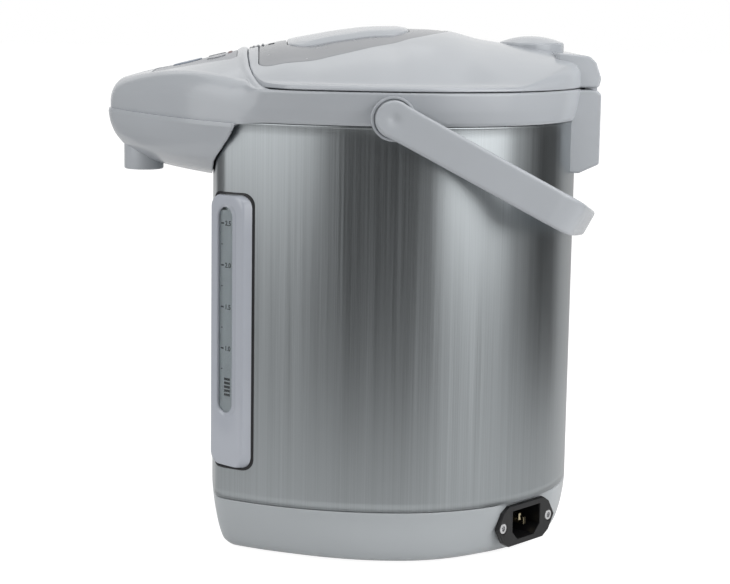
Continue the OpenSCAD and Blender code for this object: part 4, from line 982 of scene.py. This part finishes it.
ventCap = {"y": 75.0, "radius": 18.0, "dome": 46.8, "top": 8.5, "seat": 266.8, "rim": 4.1, "round": 0.6}


# a turned cap: a skirt, a rounded rim and a dome that is a slice of a sphere
def makeVentCap(v):
    r, q = v["radius"], v["round"]
    inner = np.linspace(r - 0.5, 0.6, 18)
    domed = [(x, v["top"] - v["dome"] + sqrt(v["dome"] ** 2 - x * x)) for x in inner]
    edge = [(r - q + q * cos(t), v["rim"] + q * sin(t)) for t in np.radians(np.linspace(0, 60, 6))]
    profile = [(6.0, -6), (r - 0.3, -6), (r, -5.6)] + edge + domed
    grid = turned(profile, (0, v["y"], v["seat"]), **upright)
    makePiece("ventCap", gridMesh("ventCap", grid, capStart=True, capEnd=True), "shell", "lid",
              ("steam_vent_cap",), sharp=40)


makeVentCap(ventCap)

print("handle")
handle = {"armIn": 106.4, "armThick": 5.6, "armWide": 18.4, "disc": 9.6, "gripThick": 5.0, "gripWide": 14.0,
          "reach": 125.2, "arch": 250.0, "corner": 14.0, "rest": 28.0, "pivotY": -8.4, "pivotZ": 235.2,
          "dish": 1.0, "dishRadius": 3.6, "edge": 1.5}


# points walked round a square from -1 to 1
def unitSquare(perSide):
    corners = np.array([(1, 1), (-1, 1), (-1, -1), (1, -1)], float)
    t = np.linspace(0, 1, perSide, endpoint=False)[:, None]
    return np.concatenate([a + (b - a) * t for a, b in zip(corners, np.roll(corners, -1, axis=0))])


# U path of the handle lying along +Y, with its outward direction at each point: round the pivot disc,
# along the arm, round a corner arc and over the wide arc of the grip, mirrored in X
def handlePath(h):
    x = h["armIn"] + h["armThick"] / 2
    r, big = h["corner"] + h["armThick"] / 2, h["arch"] + h["gripThick"] / 2
    cx = x - r
    archY = h["reach"] - h["arch"]
    cy = archY + sqrt((big - r) ** 2 - cx * cx)
    turn = np.arctan2(cy - archY, cx)
    a = np.linspace(0, pi / 2, 16)
    start = np.stack([np.full(16, x), -h["disc"] * np.cos(a)], 1)
    arm = np.stack([np.full(60, x), np.concatenate([np.linspace(0, 14, 21)[1:], np.linspace(14, cy, 41)[1:]])], 1)
    bend = np.linspace(0, turn, 20)[1:]
    corner = np.stack([cx + r * np.cos(bend), cy + r * np.sin(bend)], 1)
    sweep = np.linspace(turn, pi / 2, 26)[1:]
    grip = np.stack([big * np.cos(sweep), archY + big * np.sin(sweep)], 1)
    half = np.concatenate([start, arm, corner, grip])
    outward = np.concatenate([np.tile([1.0, 0.0], (76, 1)), np.stack([np.cos(bend), np.sin(bend)], 1),
                              np.stack([np.cos(sweep), np.sin(sweep)], 1)])
    flip = np.array([-1, 1])
    return np.concatenate([half, half[-2::-1] * flip]), np.concatenate([outward, outward[-2::-1] * flip])


# the unit square is carried along the path, scaled to each place's thickness and width, and its corners
# are rounded by pulling them in; the whole then turns down about the pivots
def makeHandle(h):
    path, outward = handlePath(h)
    y = path[:, 1]
    taper = smoothStep(y, h["reach"] - 24, h["reach"] - 2)
    wide = h["armWide"] / 2 * (1 - taper) + h["gripWide"] / 2 * taper
    wide = np.where(y < 0, np.sqrt(np.maximum(h["disc"] ** 2 - y * y, 0.04)),
                    wide + (h["disc"] - h["armWide"] / 2) * np.exp(-y / 4))
    thick = (h["armThick"] * (1 - taper) + h["gripThick"] * taper) / 2
    section = unitSquare(22)
    a = section[None, :, 0] * thick[:, None]
    b = section[None, :, 1] * wide[:, None]
    radius = np.minimum(h["edge"], np.minimum(thick, wide)[:, None] * 0.98)
    overA = np.maximum(0, np.abs(a) - (thick[:, None] - radius))
    overB = np.maximum(0, np.abs(b) - (wide[:, None] - radius))
    length = np.hypot(overA, overB)
    shrink = np.where(length > radius, radius / np.maximum(length, 1e-6), 1)
    a = np.sign(a) * (np.minimum(np.abs(a), thick[:, None] - radius) + overA * shrink)
    b = np.sign(b) * (np.minimum(np.abs(b), wide[:, None] - radius) + overB * shrink)
    # a shallow round dish on the outside of each pivot disc
    far = np.hypot(path[:, 1][:, None], b)
    dish = h["dish"] * np.exp(-(far / h["dishRadius"]) ** 2 * 1.4)
    a = np.where((a > 0) & (np.abs(path[:, 0])[:, None] > 100), a - dish * (a / np.maximum(thick[:, None], 0.1)), a)
    grid = np.zeros((len(path), len(section), 3))
    grid[..., :2] = path[:, None, :] + outward[:, None, :] * a[..., None]
    grid[..., 2] = b
    turn = radians(-h["rest"])
    yy = grid[..., 1] * cos(turn) - grid[..., 2] * sin(turn)
    zz = grid[..., 1] * sin(turn) + grid[..., 2] * cos(turn)
    grid[..., 1], grid[..., 2] = yy + h["pivotY"], zz + h["pivotZ"]
    makePiece("carryHandle", gridMesh("carryHandle", grid, capStart=True, capEnd=True, turn=True), "shell", "handle",
              ("handle",), sharp=None)
    pins = []
    for side in (1, -1):
        profile = [(0.4, 0), (3.2, 0), (3.5, 0.3), (3.5, 8.0), (5.6, 9.2), (5.8, 10.6), (5.2, 11.4), (0.4, 11.4)]
        place = turned(profile, (side * 98.4, h["pivotY"], h["pivotZ"]), (side, 0, 0), (0, side, 0), (0, 0, 1), 48)
        pins.append(gridMesh("pin", place, capStart=True, capEnd=True))
    makePiece("handlePins", joinMeshes("handlePins", pins), "shell", "pot", ("handle_pivots",))


makeHandle(handle)

print("level gauge")
# sizes across the gauge run along its face from the middle of the body's corner, heights from the table
gauge = {"left": -9.9, "right": 14.3, "low": 47.7, "high": 192.4, "round": 6.5, "face": 1.5,
         "slotLeft": -4.6, "slotRight": 8.9, "slotLow": 75.0, "slotHigh": 187.6, "ledge": 3.2,
         "scaleDepth": -0.4, "firstLevel": 177.4, "levelStep": 22.2,
         "figures": ("2.5", "2.0", "1.5", "1.0"), "figureSize": 3.6, "figureAt": 1.7,
         "tick": (-3.4, -1.4, 0.8), "halfTick": (-3.2, -2.2, 0.5), "stripe": (-0.8, 3.6, 1.3),
         "stripesFrom": 86.0, "stripeStep": 2.1, "stripes": 5}


# how far the steel has fallen back from the gauge's plane: radius less its root over the round corner,
# then a line with a little of its square along the side, or a line along the front
def steelDrop(across):
    x = across + body["gaugeShift"]
    near = body["corner"] - np.sqrt(np.maximum(body["corner"] ** 2 - x * x, 1.0))
    side = 0.36 + 0.2217 * (x - 3.2) + (x - 3.2) ** 2 / 334
    front = 3.31 + 0.81 * (-9.4 - x)
    return np.where(x > 3.2, side, np.where(x < -9.4, front, near))


# upright rounded rectangle grown by (left, right, ends), as (across, height), anticlockwise from outside
def gaugeBox(left, right, low, high, corner, grow=(0, 0, 0)):
    u0, u1, z0, z1 = left - grow[0], right + grow[1], low - grow[2], high + grow[2]
    r = min(corner, (u1 - u0) / 2 - 0.01)
    corners = [(u1 - r, z0 + r, -90), (u1 - r, z1 - r, 0), (u0 + r, z1 - r, 90), (u0 + r, z0 + r, 180)]
    parts = []
    for k, (cx, cy, start) in enumerate(corners):
        parts.append(arc(cx, cy, r, start, start + 90, 10))
        a, b = np.array(parts[-1][-1]), np.array(corners[(k + 1) % 4][:2])
        turn = radians(start + 90)
        begin = np.array([cx + r * cos(turn), cy + r * sin(turn)])
        end = b + r * np.array([cos(turn), sin(turn)])
        parts.append(begin + (end - begin) * np.linspace(0, 1, 14, endpoint=False)[:, None])
    return np.concatenate(parts)


# (across, height) points and how far out they lie become points in space
def gaugePoints(flat, out):
    place = gaugeCentre + gaugeAlong * flat[..., :1] + gaugeOut * np.asarray(out)[..., None]
    return np.concatenate([place, flat[..., 1:]], -1)


# rings given as (height over the face's plane, growth, share of the steel's drop that they follow)
def gaugeRings(box, rings):
    made = []
    for w, grow, follow in rings:
        flat = gaugeBox(*box, grow)
        made.append(gaugePoints(flat, w - steelDrop(flat[:, 0]) * follow))
    return np.stack(made)


# frame, seal, pane and scale plate are rings of rounded rectangles that step in and out; the frame's
# outer rings follow the steel
def makeGauge(g):
    outer = (g["left"], g["right"], g["low"], g["high"], g["round"])
    slot = (g["slotLeft"], g["slotRight"], g["slotLow"], g["slotHigh"], 6.7)
    sight = (g["slotLeft"], g["slotRight"] - g["ledge"], g["slotLow"] + 1.4, g["slotHigh"] - 1.4, 5.1)
    f = g["face"]
    sides = gaugeRings(outer, [(-0.8, (0.6, 2.5, 0.3), 1), (-0.1, (0.4, 2.0, 0.25), 0.8),
                               (0.1, (0.2, 1.1, 0.15), 0.35), (f - 0.9, (0, 0.5, 0), 0.1),
                               (f - 0.4, (-0.2, 0.1, -0.2), 0), (f - 0.1, (-0.6, -0.6, -0.6), 0),
                               (f, (-1.2, -1.5, -1.2), 0)])
    mouth = gaugeRings(slot, [(f, (0.9, 0.9, 0.9), 0), (f - 0.1, (0.45, 0.45, 0.45), 0),
                              (f - 0.35, (0.1, 0.1, 0.1), 0), (f - 0.6, (0, -0.2, -0.1), 0)])
    well = gaugeRings(sight, [(f - 0.75, (0, 0.3, 0.2), 0), (f - 0.95, (0, 0.05, 0), 0), (-1.2, (0, 0, 0), 0)])
    grid = np.concatenate([sides, mouth, well])
    makePiece("gaugeBezel", gridMesh("gaugeBezel", grid, closed=True), "frame", "pot",
              ("gauge_frame",), sharp=50)
    seal = gaugeRings(outer, [(-0.9, (1.2, 3.2, 1.7), 1), (0.5, (0.9, 2.7, 1.6), 1), (0.8, (0.6, 2.3, 1.2), 1),
                              (0.8, (0.3, 1.9, 0.6), 1), (-0.9, (0.3, 1.9, 0.2), 1)])
    makePiece("gaugeSeal", gridMesh("gaugeSeal", seal, closed=True), "rubber", "pot",
              ("gauge_gasket",), sharp=50)
    pane = gaugeRings(sight, [(-0.2, (-0.1, -0.1, -0.1), 0), (0.1, (-0.1, -0.1, -0.1), 0),
                              (0.25, (-0.5, -0.5, -0.5), 0), (0.3, (-1.2, -1.2, -1.2), 0)])
    makePiece("gaugePane", gridMesh("gaugePane", pane, capStart=True, capEnd=True), "clear", "pot",
              ("gauge_window",), sharp=50)
    d = g["scaleDepth"]
    plate = gaugeRings(sight, [(d - 0.6, (-0.1, -0.1, -0.1), 0), (d - 0.1, (-0.1, -0.1, -0.1), 0),
                               (d, (-0.3, -0.3, -0.3), 0)])
    makePiece("gaugeScalePlate", gridMesh("gaugeScalePlate", plate, capStart=True, capEnd=True), "scale", "pot",
              ("gauge_scale",), sharp=50)
    makeMarks(g)


# thin dark bars, each (left, right, thickness) at a height, and plain figures stand on the plate
def makeMarks(g):
    d = g["scaleDepth"]
    levels = [g["firstLevel"] - k * g["levelStep"] for k in range(len(g["figures"]))]
    bars = [(g["tick"], z) for z in levels] + [(g["halfTick"], z - 0.5 * g["levelStep"]) for z in levels]
    bars += [(g["stripe"], g["stripesFrom"] + g["stripeStep"] * k) for k in range(g["stripes"])]
    marks = []
    for (left, right, tall), z in bars:
        box = np.array([[left, z - tall / 2], [right, z - tall / 2], [right, z + tall / 2], [left, z + tall / 2]])
        marks.append(gridMesh("bar", np.stack([gaugePoints(box, np.full(4, d - 0.1)),
                                               gaugePoints(box, np.full(4, d + 0.12))]), capStart=True, capEnd=True))
    for figure, z in zip(g["figures"], levels):
        curve = bpy.data.curves.new("figure", "FONT")
        curve.body, curve.size, curve.extrude, curve.offset = figure, g["figureSize"], 0.1, 0.07
        curve.align_x, curve.align_y = "CENTER", "CENTER"
        holder = bpy.data.objects.new("figure", curve)
        scene.collection.objects.link(holder)
        bpy.context.view_layer.update()
        mesh = bpy.data.meshes.new_from_object(holder.evaluated_get(bpy.context.evaluated_depsgraph_get()))
        flat = np.zeros(len(mesh.vertices) * 3)
        mesh.vertices.foreach_get("co", flat)
        flat = flat.reshape(-1, 3)
        across = flat[:, :2] + [g["figureAt"], z]
        mesh.vertices.foreach_set("co", (gaugePoints(across, flat[:, 2] + d + 0.02) * mm).ravel())
        bpy.data.objects.remove(holder)
        marks.append(mesh)
    makePiece("gaugeMarks", joinMeshes("gaugeMarks", marks), "ink", "pot", sharp=40)


makeGauge(gauge)

print("inlet screws")
inletScrews = {"apart": 40, "height": 15.9, "head": 3.1, "socket": 1.45}


# two turned heads with a round socket, on the flat of the rear corner
def makeInletScrews(i):
    r, q = i["head"], i["socket"]
    profile = [(0.4, 90.5), (1.5, 90.5), (1.5, 96.9), (r - 0.1, 96.9), (r, 97.2), (r, 98.2), (r - 0.4, 98.8),
               (q + 0.35, 99.0), (q, 98.9), (q - 0.1, 98.6), (q - 0.15, 97.3), (0.3, 97.2)]
    out, across = np.array([1, 1, 0]) / sqrt(2), np.array([-1, 1, 0]) / sqrt(2)
    heads = []
    for side in (1, -1):
        centre = across * side * i["apart"] / 2 + np.array([0, 0, i["height"]])
        grid = turned(profile, centre, out, across, (0, 0, 1), 40)
        heads.append(gridMesh("head", grid, capStart=True, capEnd=True))
    makePiece("inletScrewHeads", joinMeshes("inletScrewHeads", heads), "bright", "pot",
              ("inlet_screws",), sharp=40)


makeInletScrews(inletScrews)

print("carried-over nodes")
# each node's finish and the width of its rounded edges
carried = {
    "bottom_cover": ("dark", 0.3), "bottom_screws": ("bright", 0.2), "rubber_feet": ("rubber", 0.4),
    "spout_pipe": ("silicone", 0),
    "panel_board": ("board", 0), "power_board": ("board", 0),
    "sight_tube": ("clear", 0), "water_vessel": ("vessel", 0), "insulation_jacket": ("felt", 0),
    "main_heater": ("bright", 0), "keep_warm_band": ("brass", 0), "thermostats": ("black", 0.2),
    "pump_mount": ("rubber", 0.2), "pump_motor": ("bright", 0.3), "pump_housing": ("white", 0.3),
    "pump_impeller": ("white", 0), "inlet_hose": ("silicone", 0), "outlet_hose": ("silicone", 0),
    "riser_hose": ("silicone", 0), "power_inlet": ("black", 0.5), "inlet_pins": ("brass", 0.25),
    "hinge_pin": ("bright", 0),
    "lid_base": ("white", 0.3), "inner_plate": ("vessel", 0.2),
    "lid_seal": ("silicone", 0.3), "vent_valve": ("silicone", 0.3), "lid_latch": ("inset", 0.2),
}
for nodeName, (finish, edge) in carried.items():
    node = nodes[nodeName]
    node.data.materials.clear()
    node.data.materials.append(finishes[finish])
    weld = node.modifiers.new("weld", "WELD")
    weld.merge_threshold = 1e-5
    if edge:
        roundEdges(node, edge, 3 if edge > 0.6 else 2, 40)

print("floor and light")
light = {"world": 0.47, "key": 2.9, "fill": 8.8, "rear": 5.2, "floorGlow": 0.6, "floorBoost": 1.55}


# an even glow on the object, and plain white for the camera, mirrors and glass
def makeWorld(strength):
    scene.world = bpy.data.worlds.new("studioWorld")
    f = Finish("studioWorld", scene.world)
    level = f.ramp(f.rays("Is Camera Ray", "Is Glossy Ray", "Is Transmission Ray"), 0, 1, strength, 1.0)
    glow = f.add("ShaderNodeBackground", {}, {"Color": (1, 1, 1, 1), "Strength": level})
    f.add("ShaderNodeOutputWorld", {}, {"Surface": glow})


# a soft box that looks from its place at its target
def areaLamp(name, place, target, size, power):
    data = bpy.data.lights.new(name, "AREA")
    data.shape = "RECTANGLE"
    data.size, data.size_y = size
    data.energy = power
    lamp = bpy.data.objects.new(name, data)
    way = np.array(target, float) - np.array(place, float)
    z = -way / np.linalg.norm(way)
    x = np.cross([0, 0, 1], z)
    x /= np.linalg.norm(x)
    matrix = np.eye(4)
    matrix[:3, 0], matrix[:3, 1], matrix[:3, 2], matrix[:3, 3] = x, np.cross(z, x), z, place
    lamp.matrix_world = matrix.T.tolist()
    scene.collection.objects.link(lamp)
    return lamp


# one quad of the studio, which isn't part of the pot
def stagePiece(name, corners, material):
    mesh = bpy.data.meshes.new(name)
    mesh.from_pydata(corners, [], [(0, 1, 2, 3)])
    mesh.materials.append(material)
    piece = bpy.data.objects.new(name, mesh)
    scene.collection.objects.link(piece)
    return piece


# paper floor with a glow that only the camera and mirror rays see; it keeps the shadow in its paper part
def floorMaterial(share, boost):
    f = Finish("paleFloor")
    paper = f.add("ShaderNodeBsdfPrincipled", {}, {"Base Color": (0.8, 0.8, 0.8, 1), "Roughness": 0.9,
                                                   "Specular IOR Level": 0.0})
    strength = f.rays("Is Camera Ray") * (boost - 0.8) + 0.8
    glow = f.add("ShaderNodeEmission", {}, {"Color": (1, 1, 1, 1), "Strength": strength})
    seen = f.rays("Is Camera Ray", "Is Glossy Ray")
    return f.addOutput(f.add("ShaderNodeMixShader", {}, {0: seen * share, 1: paper, 2: glow}))


# leaves a card to reflections alone
def hideFromAllButMirrors(card):
    card.visible_camera = card.visible_diffuse = card.visible_shadow = card.visible_transmission = False


def cardMaterial(number, level):
    f = Finish(f"cardPaper{number}")
    return f.addOutput(f.add("ShaderNodeEmission", {}, {"Color": (level, level, level, 1), "Strength": 1.0}))


makeWorld(light["world"])
areaLamp("keyLamp", (0.45, 0.5, 1.5), (0, 0, 0.2), (0.9, 0.9), light["key"])
sides = [areaLamp("fillLamp", (0.45, -1.2, 1.1), (0, -0.05, 0.22), (0.9, 0.7), light["fill"]),
         areaLamp("rearLamp", (0.45, 0.75, 0.62), (0.04, 0.09, 0.25), (0.5, 0.4), light["rear"])]
for lamp in sides:
    lamp.visible_glossy = False
stagePiece("floor", [(-9, -9, 0), (9, -9, 0), (9, 9, 0), (-9, 9, 0)],
           floorMaterial(light["floorGlow"], light["floorBoost"]))

# cards that only reflections see, as a studio uses to shape brushed metal:
# (from and to direction in degrees, grey level, lower edge, upper edge in metres)
cards = {"distance": 0.47, "places": (
    (-78, -38, 0.27, 0, 0.17), (-78, -28, 1.6, 0.17, 0.7), (-38, 20, 0.06, 0, 0.17), (-28, 20, 0.06, 0.17, 0.9),
    (20, 33, 0.26, 0, 0.14), (33, 62, 0.38, 0, 0.14), (23, 64, 2.3, 0.14, 0.5), (62, 82, 0.24, 0, 0.14),
    (64, 82, 0.5, 0.14, 0.9), (82, 114, 0.07, 0, 0.9), (114, 150, 0.6, 0, 0.9), (-125, -78, 0.2, 0, 0.8))}
for number, (start, end, level, low, high) in enumerate(cards["places"]):
    (x0, y0), (x1, y1) = [(cards["distance"] * cos(radians(a)), cards["distance"] * sin(radians(a)))
                          for a in (start, end)]
    card = stagePiece(f"greyCard{number}", [(x0, y0, low), (x1, y1, low), (x1, y1, high), (x0, y0, high)],
                      cardMaterial(number, level))
    hideFromAllButMirrors(card)

# a long window behind the pot and above it, for the strip of light on the lid's near slope
window = stagePiece("skyWindow", [(-0.95, -0.75, 1.0), (-0.95, 0.15, 1.0), (-0.86, 0.15, 1.12), (-0.86, -0.75, 1.12)],
                    cardMaterial("Window", 1.5))
hideFromAllButMirrors(window)

scene.view_settings.view_transform = "Standard"
